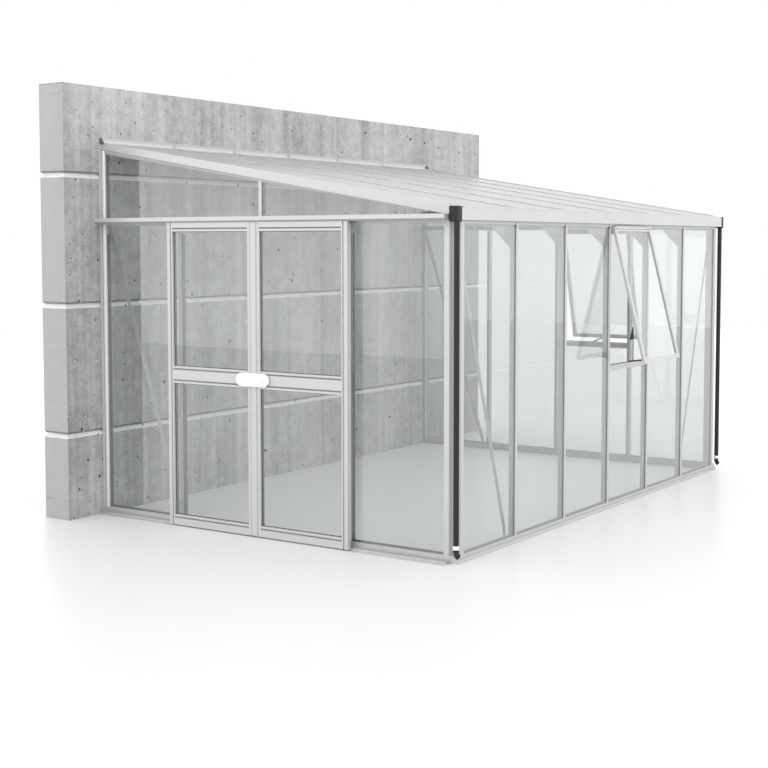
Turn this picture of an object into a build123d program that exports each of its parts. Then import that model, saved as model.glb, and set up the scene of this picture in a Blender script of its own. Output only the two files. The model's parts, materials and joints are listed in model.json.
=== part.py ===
from build123d import *
from math import cos, radians, sin, sqrt, tan
import os

# Lean-to greenhouse of aluminium glazing bars and glass against a free-standing concrete wall.
# X runs along the wall from the door gable to the far gable, Y from the eaves to the wall, Z is up.
# The origin is the middle of the footprint at ground level. Lengths are millimetres.

# Bays of the glazed frame
bay_count = 6
bay_pitch = 735
corner_offset = 58
frame_depth = 3121
gable_bays = 4
gable_first = 85
gable_last = 16

# Concrete wall
slab_height = 3221
slab_thickness = 246
slab_near = 381
slab_far = 1073
course_count = 3
course_first = 635
course_pitch = 963
joint_depth = 18

# Heights above the ground
sill_height = 48
beam_top = 2200
beam_height = 37
gutter_height = 78
roof_lift = 7
roof_angle = 9.26
transom_rise = 2
vent_transom_mid = 1091

# Glazing bar section, measured inward from the outer plane of a wall
cap_width = 27
transom_width = 45
wall_cap_width = 36
cap_thickness = 8
web_width = 14
bar_depth = 52
screw_groove = 8
edge_chamfer = 2
glass_thickness = 4
glass_inset = 2
sill_slot = 12
sill_lip = 14

# Roof bars and panes, measured up from the underside of the panes
roof_bar_depth = 61
roof_web_width = 24
roof_cap_width = 26
roof_cap_rise = 6
verge_width = 52
verge_rim = 12
plate_depth = 30
plate_height = 95
pane_overhang = 42
flashing_reach = 75
flashing_leg = 33
flashing_thickness = 3
flashing_gap = 4

# Corner posts with the notch that holds the rainwater pipe
notch_side = 55
notch_depth = 33
corner_leg = 93
corner_core = 80

# Gutter and rainwater pipes
gutter_reach = 34
gutter_wall = 3
gutter_lip = 8
outlet_out = 40
outlet_lap = 8
outlet_back = 33
outlet_drop = 12
outlet_rise = 8
outlet_wall = 4
pipe_radius = 18.5
pipe_wall = 2
pipe_out = 16
pipe_front = 10
pipe_elbow_radius = 45
pipe_elbow_height = 88
pipe_elbow_turn = 55
clip_radius = 21
clip_height = 24

# Door leaves on the outside of the near gable
leaf_lap = 45
leaf_gap = 5
leaf_base = 10
leaf_drop = 10
leaf_thickness = 32
leaf_axis = 62
stile_width = 50
top_rail = 64
mid_rail = 122
bottom_rail = 76
mid_rail_z = 1107
stile_bead = 10
rail_bead = 15
bead_groove = 11
bead_recess = 9
pane_slot = 10

# Door tracks
track_depth = 85
track_rise = 8
track_height = 28
track_wall = 3
track_channel = 46
track_slot = 16
track_start = 46
floor_track_depth = 82
floor_track_base = 4
floor_track_rib = 4
floor_track_height = 18
floor_track_ribs = 3
rib_clearance = 6

# Rollers that carry the leaves in the head track
roller_radius = 10
roller_width = 11
roller_gap = 2
roller_lift = 0.3
hanger_width = 60
hanger_thickness = 4
hanger_inset = 140
axle_radius = 3

# Door handle
handle_length = 284
handle_height = 94
handle_thickness = 22
handle_round = 6
handle_clearance = 5

# Top-hung vents, held open by their stays
vent_bay = 4
gable_vent_bay = 2
vent_foot_lap = 7.5
vent_angle = 14.3
vent_thickness = 20
vent_frame = 36
vent_side_gap = 13
hinge_drop = 18
hinge_radius = 8
hinge_lap = 3
hinge_offset = 10
stay_width = 12
stay_thickness = 6
post_rise = 280
post_out = 30
fin_height = 100
fin_reach = 28

# Wind braces and knee gussets
brace_cut = 112
brace_thickness = 4
brace_head_drop = 16
brace_foot_lap = 44
brace_run = 655
gable_brace_rise = 46
gable_brace_gap = 45
gusset_leg = 250
gusset_thickness = 4

# Worked-out sizes
frame_length = bay_count * bay_pitch + 2 * corner_offset
slab_length = slab_near + frame_length + slab_far
gable_pitch = (frame_depth - gable_first - gable_last) / gable_bays
web_half = web_width / 2
cap_half = cap_width / 2
transom_half = transom_width / 2
glass_front = cap_thickness
glass_back = glass_front + glass_thickness
beam_base = beam_top - beam_height
gutter_top = beam_top + gutter_height
roof_base = gutter_top + roof_lift
transom_mid = beam_top + transom_rise
vent_transom_top = vent_transom_mid + transom_half
hinge_z = beam_top - hinge_drop
vent_length = hinge_z - vent_transom_top + vent_foot_lap
vent_reach = (
    hinge_offset
    + vent_length * sin(radians(vent_angle))
    + vent_thickness / 2 * cos(radians(vent_angle))
)
total_depth = vent_reach + frame_depth + slab_thickness
near_x = slab_near - slab_length / 2
far_x = near_x + frame_length
wall_y = total_depth / 2 - slab_thickness
eaves_y = wall_y - frame_depth
slope = tan(radians(roof_angle))
pane_base = sill_height - sill_slot
track_base = transom_mid + track_rise
track_top = track_base + track_height
leaf_top = track_base - leaf_drop
leaf_height = leaf_top - leaf_base
leaf_width = gable_pitch + leaf_lap - leaf_gap / 2
leaf_x = near_x - leaf_axis
door_mid = eaves_y + gable_first + gable_bays / 2 * gable_pitch

up = (0, 0, 1)
along_x = (1, 0, 0)
along_y = (0, 1, 0)
into_front = (0, 1, 0)
into_near = (1, 0, 0)
into_far = (-1, 0, 0)


def bar_x(index):
    # Middle of the eaves bar or roof bar that closes bay number index
    return near_x + corner_offset + index * bay_pitch


def gable_y(index):
    # Middle of the gable bar that closes gable bay number index, counted from the eaves
    return eaves_y + gable_first + index * gable_pitch


def roof_z(y):
    # Height of the underside of the roof panes
    return roof_base + slope * (y - eaves_y)


def bar_plane(origin, along, inward):
    # Plane across a bar, with its second axis pointing into the building
    return Plane(origin=origin, x_dir=Vector(inward).cross(Vector(along)), z_dir=along)


def slope_band(start_y, end_y, low, high):
    # Corners of a strip that follows the roof, between two offsets from the panes' underside
    return [
        (start_y, roof_z(start_y) + low),
        (end_y, roof_z(end_y) + low),
        (end_y, roof_z(end_y) + high),
        (start_y, roof_z(start_y) + high),
    ]


def bar_profile(width):
    # Section of a glazing bar: a cap, a neck between the panes and a core with a screw groove
    with BuildSketch() as profile:
        with BuildLine():
            half = Polyline(
                (0, 0),
                (width / 2 - edge_chamfer, 0),
                (width / 2, edge_chamfer),
                (width / 2, glass_front),
                (web_half, glass_front),
                (web_half, glass_back),
                (width / 2, glass_back),
                (width / 2, bar_depth),
                (screw_groove / 2, bar_depth),
                (screw_groove / 2, bar_depth - screw_groove),
                (0, bar_depth - screw_groove),
            )
            mirror(half, about=Plane.YZ)
        make_face()
    return profile.sketch


def leaf_profile(width, glazed_edges, bead):
    # Section of a door rail or stile, with a bead, a step and a pane slot on each glazed edge
    with BuildSketch() as profile:
        Rectangle(width, leaf_thickness)
        for edge in glazed_edges:
            step = edge * (width / 2 - bead - bead_groove / 2)
            with Locations((step, leaf_thickness / 2), (step, -leaf_thickness / 2)):
                Rectangle(bead_groove, 2 * bead_recess, mode=Mode.SUBTRACT)
            with Locations((edge * (width - pane_slot) / 2, 0)):
                Rectangle(pane_slot, glass_thickness, mode=Mode.SUBTRACT)
    return profile.sketch


def save(builder, name):
    # One named sub-part, one file
    builder.part.label = name
    export_step(builder.part, f"parts/{name}.step")


os.makedirs("parts", exist_ok=True)

# Sections of the upright glazing bars and of the wider transoms
upright_section = bar_profile(cap_width)
transom_section = bar_profile(transom_width)

# Concrete wall with formwork joints all round
slab_mid_y = wall_y + slab_thickness / 2
joint_heights = [course_first + course_pitch * i for i in range(course_count)]
joint_side = joint_depth * sqrt(2)
with BuildPart() as backing_wall:
    with BuildSketch(Plane.XY):
        with Locations((0, slab_mid_y)):
            Rectangle(slab_length, slab_thickness)
    extrude(amount=slab_height)
    with BuildSketch(Plane.YZ):
        with Locations(*[(y, z) for z in joint_heights for y in (wall_y, wall_y + slab_thickness)]):
            Rectangle(joint_side, joint_side, rotation=45)
    extrude(amount=slab_length, both=True, mode=Mode.SUBTRACT)
    with BuildSketch(Plane.XZ.offset(-slab_mid_y)):
        with Locations(*[(x, z) for z in joint_heights for x in (-slab_length / 2, slab_length / 2)]):
            Rectangle(joint_side, joint_side, rotation=45)
    extrude(amount=slab_thickness, both=True, mode=Mode.SUBTRACT)
save(backing_wall, "backing_wall")

# Sill sections: an upstand in front of the glass slot, and a drip lip where the side is open
with BuildSketch() as plain_sill_section:
    with BuildLine():
        Polyline(
            (0, 0),
            (sill_height, 0),
            (sill_height, glass_front),
            (pane_base, glass_front),
            (pane_base, glass_back),
            (sill_height, glass_back),
            (sill_height, bar_depth),
            (0, bar_depth),
            close=True,
        )
    make_face()
with BuildSketch() as lipped_sill_section:
    add(plain_sill_section.sketch)
    with BuildLine():
        Polyline((0, 0), (0, -sill_lip), (sill_lip, -sill_lip), (1.5 * sill_lip, 0), close=True)
    make_face()

with BuildPart() as front_sill:
    with BuildSketch(Plane(origin=(near_x, eaves_y, 0), x_dir=up, z_dir=(-1, 0, 0))):
        add(lipped_sill_section.sketch)
    extrude(amount=-frame_length)
save(front_sill, "front_sill")

gable_sill_length = frame_depth - bar_depth
with BuildPart() as near_sill:
    with BuildSketch(bar_plane((near_x, eaves_y + bar_depth, 0), along_y, into_near)):
        add(plain_sill_section.sketch)
    extrude(amount=gable_sill_length)
save(near_sill, "near_sill")

with BuildPart() as far_sill:
    with BuildSketch(Plane(origin=(far_x, wall_y, 0), x_dir=up, z_dir=(0, -1, 0))):
        add(lipped_sill_section.sketch)
    extrude(amount=gable_sill_length)
save(far_sill, "far_sill")

# Corner posts: two caps at right angles round a notch
with BuildSketch() as corner_section:
    with BuildLine():
        corner_half = Polyline(
            (notch_depth, notch_depth),
            (notch_side, notch_depth),
            (notch_side, 0),
            (corner_leg, 0),
            (corner_leg, cap_thickness),
            (corner_core, cap_thickness),
            (corner_core, corner_core),
        )
        mirror(corner_half, about=Plane(origin=(0, 0, 0), z_dir=(1, -1, 0)))
    make_face()

with BuildPart() as near_corner_post:
    with BuildSketch(Plane(origin=(near_x, eaves_y, sill_height))):
        add(corner_section.sketch)
    extrude(amount=beam_top - sill_height)
save(near_corner_post, "near_corner_post")

with BuildPart() as far_corner_post:
    with BuildSketch(Plane(origin=(far_x, eaves_y, sill_height), x_dir=(0, 1, 0), z_dir=up)):
        add(corner_section.sketch)
    extrude(amount=beam_top - sill_height)
save(far_corner_post, "far_corner_post")

# Wall posts: half bars screwed to the concrete, cut off under the verge
for name, x, sign in (("near_wall_post", near_x, 1), ("far_wall_post", far_x, -1)):
    with BuildPart() as wall_post:
        with BuildSketch(Plane.YZ.offset(x)):
            with BuildLine():
                Polyline(
                    (wall_y - wall_cap_width, sill_height),
                    (wall_y, sill_height),
                    (wall_y, roof_z(wall_y) - roof_bar_depth),
                    (wall_y - wall_cap_width, roof_z(wall_y - wall_cap_width) - roof_bar_depth),
                    close=True,
                )
            make_face()
        extrude(amount=sign * cap_thickness)
        with BuildSketch(Plane.YZ.offset(x)):
            with BuildLine():
                Polyline(
                    (wall_y - plate_depth, sill_height),
                    (wall_y, sill_height),
                    (wall_y, roof_z(wall_y) - roof_bar_depth),
                    (wall_y - plate_depth, roof_z(wall_y - plate_depth) - roof_bar_depth),
                    close=True,
                )
            make_face()
        extrude(amount=sign * bar_depth)
    save(wall_post, name)

# Eaves bars, far gable bars and door posts, standing on the sills. The eaves bars are cut away
# behind the panes for the beam, and their caps run on to the gutter.
with BuildPart() as eaves_bars:
    with BuildSketch(
        *[bar_plane((bar_x(i), eaves_y, sill_height), up, into_front) for i in range(1, bay_count)]
    ):
        add(upright_section)
    extrude(amount=beam_top - sill_height)
    with BuildSketch(Plane.YZ.offset(near_x + corner_core)):
        with Locations((eaves_y + (glass_back + bar_depth) / 2, (beam_base + beam_top) / 2)):
            Rectangle(bar_depth - glass_back, beam_height)
    extrude(amount=frame_length - 2 * corner_core, mode=Mode.SUBTRACT)
save(eaves_bars, "eaves_bars")

transom_base = transom_mid - transom_half
transom_top = transom_mid + transom_half
with BuildPart() as far_gable_bars:
    with BuildSketch(
        *[bar_plane((far_x, gable_y(i), sill_height), up, into_far) for i in range(1, gable_bays)]
    ):
        add(upright_section)
    extrude(amount=transom_base - sill_height)
save(far_gable_bars, "far_gable_bars")

with BuildPart() as door_posts:
    with BuildSketch(
        *[bar_plane((near_x, gable_y(i), sill_height), up, into_near) for i in (1, gable_bays - 1)]
    ):
        add(upright_section)
    extrude(amount=transom_base - sill_height)
save(door_posts, "door_posts")

# Gable transoms from the corner post to the wall post
transom_start = eaves_y + corner_leg
transom_length = frame_depth - corner_leg - wall_cap_width
with BuildPart() as gable_transoms:
    with BuildSketch(
        bar_plane((near_x, transom_start, transom_mid), along_y, into_near),
        bar_plane((far_x, transom_start, transom_mid), along_y, into_far),
    ):
        add(transom_section)
    extrude(amount=transom_length)
save(gable_transoms, "gable_transoms")

# Short bars above the transoms, cut to the slope of the verges
verge_low = -roof_bar_depth
mullion_y = gable_y(gable_bays / 2)
with BuildPart() as gable_mullions:
    with BuildSketch(
        bar_plane((near_x, mullion_y, transom_top), up, into_near),
        bar_plane((far_x, mullion_y, transom_top), up, into_far),
    ):
        add(upright_section)
    extrude(amount=roof_z(mullion_y) - transom_top)
    split(
        bisect_by=Plane(
            origin=(0, mullion_y, roof_z(mullion_y) + verge_low),
            z_dir=(0, -slope, 1),
        ),
        keep=Keep.BOTTOM,
    )
save(gable_mullions, "gable_mullions")

# Eaves beam between the corner posts, behind the panes, with a hinge bar in front over the vent
vent_bar_left = bar_x(vent_bay - 1)
with BuildPart() as eaves_beam:
    with BuildSketch(Plane.YZ.offset(near_x + corner_core)):
        with Locations((eaves_y + (glass_back + bar_depth) / 2, (beam_base + beam_top) / 2)):
            Rectangle(bar_depth - glass_back, beam_height)
    extrude(amount=frame_length - 2 * corner_core)
    with BuildSketch(Plane.YZ.offset(vent_bar_left + cap_half)):
        with Locations((eaves_y + glass_back / 2, (hinge_z - hinge_radius + beam_top) / 2)):
            Rectangle(glass_back, beam_top - hinge_z + hinge_radius)
    extrude(amount=bay_pitch - cap_width)
save(eaves_beam, "eaves_beam")

# Gutter: an open channel on the beam, its back wall meeting the roof bars and the panes
gutter_back = bar_depth
gutter_inner = gutter_back - gutter_wall
gutter_floor = beam_top + gutter_wall
with BuildPart() as gutter:
    with BuildSketch(Plane.YZ.offset(near_x + outlet_lap)):
        with BuildLine():
            Polyline(
                (eaves_y - gutter_reach, beam_top),
                (eaves_y - gutter_reach, gutter_top),
                (eaves_y - gutter_reach + gutter_lip, gutter_top),
                (eaves_y - gutter_reach + gutter_lip, gutter_top - gutter_wall),
                (eaves_y - gutter_reach + gutter_wall, gutter_top - gutter_wall),
                (eaves_y - gutter_reach + gutter_wall, gutter_floor),
                (eaves_y + gutter_inner, gutter_floor),
                (eaves_y + gutter_inner, roof_z(eaves_y + gutter_inner)),
                (eaves_y + gutter_back, roof_z(eaves_y + gutter_back)),
                (eaves_y + gutter_back, beam_top),
                close=True,
            )
        make_face()
    extrude(amount=frame_length - 2 * outlet_lap)
save(gutter, "gutter")

# Outlet boxes on both gutter ends, open to the gutter and to the pipe below
outlet_base = beam_top - outlet_drop
outlet_top = gutter_top + outlet_rise
pipe_y = eaves_y - pipe_front
pipe_places = [(near_x - pipe_out, pipe_y), (far_x + pipe_out, pipe_y)]
outlet_length = outlet_out + outlet_lap
outlet_width = outlet_back + gutter_reach
outlet_mid_y = eaves_y + (outlet_back - gutter_reach) / 2
outlet_mids = [near_x - outlet_out + outlet_length / 2, far_x + outlet_out - outlet_length / 2]
cavity_width = outlet_width - 2 * outlet_wall
with BuildPart() as gutter_outlets:
    with BuildSketch(Plane.XY.offset(outlet_base)):
        with Locations(*[(x, outlet_mid_y) for x in outlet_mids]):
            Rectangle(outlet_length, outlet_width)
    extrude(amount=outlet_top - outlet_base)
    with BuildSketch(Plane.XY.offset(outlet_base + outlet_wall)):
        with Locations(
            (outlet_mids[0] + outlet_wall, outlet_mid_y),
            (outlet_mids[1] - outlet_wall, outlet_mid_y),
        ):
            Rectangle(outlet_length, cavity_width)
    extrude(amount=outlet_top - outlet_base - 2 * outlet_wall, mode=Mode.SUBTRACT)
    with BuildSketch(Plane.XY.offset(outlet_base)):
        with Locations(*pipe_places):
            Circle(pipe_radius - pipe_wall)
    extrude(amount=2 * outlet_wall, mode=Mode.SUBTRACT)
save(gutter_outlets, "gutter_outlets")

# Rainwater pipes in the corner notches, each ending in an elbow that points away from the eaves
with BuildPart() as downpipes:
    for pipe_x, pipe_end_y in pipe_places:
        with BuildLine(Plane.YZ.offset(pipe_x)) as route:
            drop = Line((pipe_end_y, outlet_base), (pipe_end_y, pipe_elbow_height))
            JernArc(drop @ 1, drop % 1, radius=pipe_elbow_radius, arc_size=-pipe_elbow_turn)
        with BuildSketch(Plane(origin=route.line @ 0, z_dir=route.line % 0)):
            Circle(pipe_radius)
            Circle(pipe_radius - pipe_wall, mode=Mode.SUBTRACT)
        sweep(path=route.line)
save(downpipes, "downpipes")

# Clips round the pipes above the elbows
with BuildPart() as pipe_clips:
    with BuildSketch(Plane.XY.offset(pipe_elbow_height + clip_height / 2)):
        with Locations(*pipe_places):
            Circle(clip_radius)
            Circle(pipe_radius, mode=Mode.SUBTRACT)
    extrude(amount=clip_height)
save(pipe_clips, "pipe_clips")

# Verges: the gable rafters, with a rim beside the panes and a slot for the gable glass
verge_start = eaves_y + bar_depth
for name, x, sign in (("near_verge", near_x, 1), ("far_verge", far_x, -1)):
    with BuildPart() as verge:
        with BuildSketch(Plane.YZ.offset(x)):
            with BuildLine():
                Polyline(*slope_band(verge_start, wall_y, verge_low, 0), close=True)
            make_face()
        extrude(amount=sign * verge_width)
        with BuildSketch(Plane.YZ.offset(x)):
            with BuildLine():
                Polyline(*slope_band(verge_start, wall_y, 0, verge_rim), close=True)
            make_face()
        extrude(amount=sign * verge_rim)
        with BuildSketch(Plane.YZ.offset(x + sign * glass_front)):
            with BuildLine():
                Polyline(*slope_band(verge_start, wall_y, verge_low, verge_low + pane_slot), close=True)
            make_face()
        extrude(amount=sign * glass_thickness, mode=Mode.SUBTRACT)
    save(verge, name)

# Roof bars from the gutter to the wall plate: webs under the panes, caps over the joints
plate_start = wall_y - plate_depth
cap_start = eaves_y + bar_depth - pane_overhang
cap_end = wall_y - flashing_reach
roof_bar_places = [bar_x(i) for i in range(1, bay_count)]
with BuildPart() as roof_bars:
    with BuildSketch(*[Plane.YZ.offset(x - roof_web_width / 2) for x in roof_bar_places]):
        with BuildLine():
            Polyline(*slope_band(verge_start, plate_start, -roof_bar_depth, 0), close=True)
        make_face()
    extrude(amount=roof_web_width)
    with BuildSketch(*[Plane.YZ.offset(x - glass_inset) for x in roof_bar_places]):
        with BuildLine():
            Polyline(*slope_band(verge_start, cap_end, 0, glass_thickness), close=True)
        make_face()
    extrude(amount=2 * glass_inset)
    cap_top = glass_thickness + roof_cap_rise
    with BuildSketch(*[Plane.YZ.offset(x - roof_cap_width / 2) for x in roof_bar_places]):
        with BuildLine():
            Polyline(*slope_band(cap_start, cap_end, glass_thickness, cap_top), close=True)
        make_face()
    extrude(amount=roof_cap_width)
save(roof_bars, "roof_bars")

# Wall plate that carries the heads of the roof bars and panes
with BuildPart() as wall_plate:
    with BuildSketch(Plane.YZ.offset(near_x + verge_width)):
        with BuildLine():
            Polyline(*slope_band(plate_start, wall_y, -plate_height, 0), close=True)
        make_face()
    extrude(amount=frame_length - 2 * verge_width)
save(wall_plate, "wall_plate")

# Flashing strips over the heads of the panes, one to a bay
strip_starts = [near_x] + [bar_x(i) + flashing_gap / 2 for i in range(1, bay_count)]
strip_ends = [bar_x(i) - flashing_gap / 2 for i in range(1, bay_count)] + [far_x]
flashing_front = wall_y - flashing_reach
leg_start = wall_y - flashing_thickness
leg_low = roof_z(wall_y) + verge_rim
with BuildPart() as flashing:
    for strip_start, strip_end in zip(strip_starts, strip_ends):
        with BuildSketch(Plane.YZ.offset(strip_start)):
            with BuildLine():
                Polyline(
                    (flashing_front, roof_z(flashing_front) + verge_rim),
                    (wall_y, leg_low),
                    (wall_y, leg_low + flashing_leg),
                    (leg_start, leg_low + flashing_leg),
                    (leg_start, leg_low + flashing_thickness),
                    (flashing_front, roof_z(flashing_front) + verge_rim + flashing_thickness),
                    close=True,
                )
            make_face()
        extrude(amount=strip_end - strip_start)
save(flashing, "flashing")

# Roof panes, one to a bay, from over the gutter to the wall
pane_lefts = [near_x + verge_rim] + [bar_x(i) + glass_inset for i in range(1, bay_count)]
pane_rights = [bar_x(i) - glass_inset for i in range(1, bay_count)] + [far_x - verge_rim]
with BuildPart() as roof_glass:
    for left, right in zip(pane_lefts, pane_rights):
        with BuildSketch(Plane.YZ.offset(left)):
            with BuildLine():
                Polyline(*slope_band(cap_start, wall_y, 0, glass_thickness), close=True)
            make_face()
        extrude(amount=right - left)
save(roof_glass, "roof_glass")

# Eaves panes from the sill slot to the beam slot, one short under the vent
post_lefts = [near_x + corner_core] + [bar_x(i) + web_half for i in range(1, bay_count)]
post_rights = [bar_x(i) - web_half for i in range(1, bay_count)] + [far_x - corner_core]
short_pane_top = vent_transom_mid - web_half
full_pane_top = beam_top - glass_inset
with BuildPart() as eaves_glass:
    for bay, (left, right) in enumerate(zip(post_lefts, post_rights), start=1):
        pane_top = short_pane_top if bay == vent_bay else full_pane_top
        with BuildSketch(Plane.XZ.offset(-(eaves_y + glass_back))):
            with Locations(((left + right) / 2, (pane_base + pane_top) / 2)):
                Rectangle(right - left - 2 * glass_inset, pane_top - pane_base)
        extrude(amount=glass_thickness)
save(eaves_glass, "eaves_glass")

# Gable panes: upright panes under the transom and two sloped panes above it
upright_top = transom_mid - web_half
gable_lefts = [eaves_y + corner_core] + [gable_y(i) + web_half for i in range(1, gable_bays)]
gable_rights = [gable_y(i) - web_half for i in range(1, gable_bays)] + [wall_y - plate_depth]
upper_spans = [
    (eaves_y + bar_depth, mullion_y - web_half - glass_inset),
    (mullion_y + web_half + glass_inset, wall_y - plate_depth),
]
gables = (
    ("near_gable_glass", near_x + glass_front, (0, gable_bays - 1)),
    ("far_gable_glass", far_x - glass_back, range(gable_bays)),
)
for name, x, bays in gables:
    with BuildPart() as gable_glass:
        for bay in bays:
            vented = name == "far_gable_glass" and bay + 1 == gable_vent_bay
            pane_top = short_pane_top if vented else upright_top
            width = gable_rights[bay] - gable_lefts[bay] - 2 * glass_inset
            with BuildSketch(Plane.YZ.offset(x)):
                with Locations(((gable_lefts[bay] + gable_rights[bay]) / 2, (pane_base + pane_top) / 2)):
                    Rectangle(width, pane_top - pane_base)
            extrude(amount=glass_thickness)
        for start, end in upper_spans:
            with BuildSketch(Plane.YZ.offset(x)):
                with BuildLine():
                    Polyline(
                        (start, beam_top),
                        (start, roof_z(start) + verge_low + pane_slot),
                        (end, roof_z(end) + verge_low + pane_slot),
                        (end, beam_top),
                        close=True,
                    )
                make_face()
            extrude(amount=glass_thickness)
            with BuildSketch(Plane.YZ.offset(x)):
                with Locations((mullion_y, transom_mid)):
                    Rectangle(2 * frame_depth, web_width)
            extrude(amount=glass_thickness, mode=Mode.SUBTRACT)
    save(gable_glass, name)

# Transoms under the two vents
gable_vent_low = gable_y(gable_vent_bay - 1)
with BuildPart() as vent_transoms:
    with BuildSketch(
        bar_plane((vent_bar_left + cap_half, eaves_y, vent_transom_mid), along_x, into_front)
    ):
        add(transom_section)
    extrude(amount=bay_pitch - cap_width)
    with BuildSketch(
        bar_plane((far_x, gable_vent_low + cap_half, vent_transom_mid), along_y, into_far)
    ):
        add(transom_section)
    extrude(amount=gable_pitch - cap_width)
save(vent_transoms, "vent_transoms")

# Vents: frames of two stiles and two rails round a pane, tilted outward from a hinge rod
tilt = radians(vent_angle)
rail_head = hinge_radius - hinge_lap
vents = (
    ("eaves_vent", (vent_bar_left + bay_pitch / 2, eaves_y - hinge_offset, hinge_z), (0, -1), bay_pitch),
    ("far_vent", (far_x + hinge_offset, gable_vent_low + gable_pitch / 2, hinge_z), (1, 0), gable_pitch),
)
for name, hinge, outward, pitch in vents:
    out_x, out_y = outward
    normal = (out_x * cos(tilt), out_y * cos(tilt), sin(tilt))
    leaf_plane = Plane(origin=hinge, x_dir=(-out_y, out_x, 0), z_dir=normal)
    vent_width = pitch - cap_width - 2 * vent_side_gap
    rail_span = vent_width - 2 * vent_frame
    with BuildPart() as vent_stiles:
        with BuildSketch(leaf_plane):
            with GridLocations(vent_width - vent_frame, 0, 2, 1):
                with Locations((0, -(rail_head + vent_length) / 2)):
                    Rectangle(vent_frame, vent_length - rail_head)
        extrude(amount=vent_thickness / 2, both=True)
    save(vent_stiles, f"{name}_stiles")
    with BuildPart() as vent_rails:
        with BuildSketch(leaf_plane):
            with Locations((0, -rail_head - vent_frame / 2), (0, -vent_length + vent_frame / 2)):
                Rectangle(rail_span, vent_frame)
        extrude(amount=vent_thickness / 2, both=True)
        with Locations(leaf_plane):
            Cylinder(hinge_radius, rail_span, rotation=(0, 90, 0))
    save(vent_rails, f"{name}_rails")
    with BuildPart() as vent_glass:
        with BuildSketch(leaf_plane):
            with Locations((0, -(rail_head + vent_length) / 2)):
                Rectangle(rail_span, vent_length - rail_head - 2 * vent_frame)
        extrude(amount=glass_thickness / 2, both=True)
    save(vent_glass, f"{name}_glass")

# Stays: an arm from each vent transom to the bottom rail, and a finned post on the eaves arm
rail_l = vent_length - vent_frame / 2
rail_z = hinge_z - rail_l * cos(tilt) - vent_thickness / 2 * sin(tilt)
arm_low, arm_high = [
    (hinge_offset + (hinge_z - z) * tan(tilt) - vent_thickness / 2 / cos(tilt), z)
    for z in (rail_z - stay_width / 2, rail_z + stay_width / 2)
]
arm_mid = vent_transom_top + stay_width / 2
arm_slope = (rail_z - arm_mid) / arm_low[0]
post_top = vent_transom_top + post_rise
fin_z = post_top - fin_height
fin_back = post_out - fin_reach
with BuildPart() as vent_stays:
    for name, hinge, outward, pitch in vents:
        out_x, out_y = outward
        base = (hinge[0] - out_x * hinge_offset, hinge[1] - out_y * hinge_offset, 0)
        with BuildSketch(Plane(origin=base, x_dir=(out_x, out_y, 0), z_dir=(out_y, -out_x, 0))):
            with BuildLine():
                Polyline(
                    (-cap_thickness, vent_transom_top),
                    (0, vent_transom_top),
                    arm_low,
                    arm_high,
                    (0, vent_transom_top + stay_width),
                    (-cap_thickness, vent_transom_top + stay_width),
                    close=True,
                )
            make_face()
            if name == "eaves_vent":
                with BuildLine():
                    Polyline(
                        (post_out, arm_mid + arm_slope * post_out),
                        (post_out, fin_z),
                        (fin_back, fin_z),
                        (post_out, post_top),
                        (post_out + stay_thickness, post_top),
                        (post_out + stay_thickness, arm_mid + arm_slope * (post_out + stay_thickness)),
                        close=True,
                    )
                make_face()
        extrude(amount=stay_thickness / 2, both=True)
save(vent_stays, "vent_stays")


def brace_points(start, end, high, low):
    # Corners of a flat bar that falls from start to end, cut off upright at both ends
    return [(start, high), (start, high - brace_cut), (end, low), (end, low + brace_cut)]


# Wind braces behind the glass: in both end bays of the eaves side and beside the wall in both gables
brace_head = beam_top - brace_head_drop
brace_foot = sill_height - brace_foot_lap
gable_brace_head = transom_top + gable_brace_rise
gable_brace_start = wall_y - plate_depth / 2
gable_brace_end = gable_y(gable_bays - 1) + gable_brace_gap
with BuildPart() as wind_braces:
    for start, end in (
        (near_x + corner_core, near_x + corner_core + brace_run),
        (far_x - corner_core, far_x - corner_core - brace_run),
    ):
        with BuildSketch(Plane.XZ.offset(-(eaves_y + bar_depth + brace_thickness))):
            with BuildLine():
                Polyline(*brace_points(start, end, brace_head, brace_foot), close=True)
            make_face()
        extrude(amount=brace_thickness)
    for x in (near_x + bar_depth, far_x - bar_depth - brace_thickness):
        with BuildSketch(Plane.YZ.offset(x)):
            with BuildLine():
                Polyline(
                    *brace_points(gable_brace_start, gable_brace_end, gable_brace_head, brace_foot),
                    close=True,
                )
            make_face()
        extrude(amount=brace_thickness)
save(wind_braces, "wind_braces")

# Knee gussets between the eaves beam and the roof bars, their free edge at 45 degrees
gusset_start = eaves_y + bar_depth
gusset_end = gusset_start + gusset_leg
gusset_base = roof_z(gusset_end) - roof_bar_depth - gusset_leg
with BuildPart() as knee_gussets:
    gusset_places = [x - roof_web_width / 2 - gusset_thickness for x in roof_bar_places]
    with BuildSketch(*[Plane.YZ.offset(x) for x in gusset_places]):
        with BuildLine():
            Polyline(
                (gusset_start, gusset_base),
                (gusset_end, roof_z(gusset_end) - roof_bar_depth),
                (gusset_end, roof_z(gusset_end) - glass_inset),
                (gusset_start, roof_z(gusset_start) - glass_inset),
                close=True,
            )
        make_face()
    extrude(amount=gusset_thickness)
save(knee_gussets, "knee_gussets")

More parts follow.
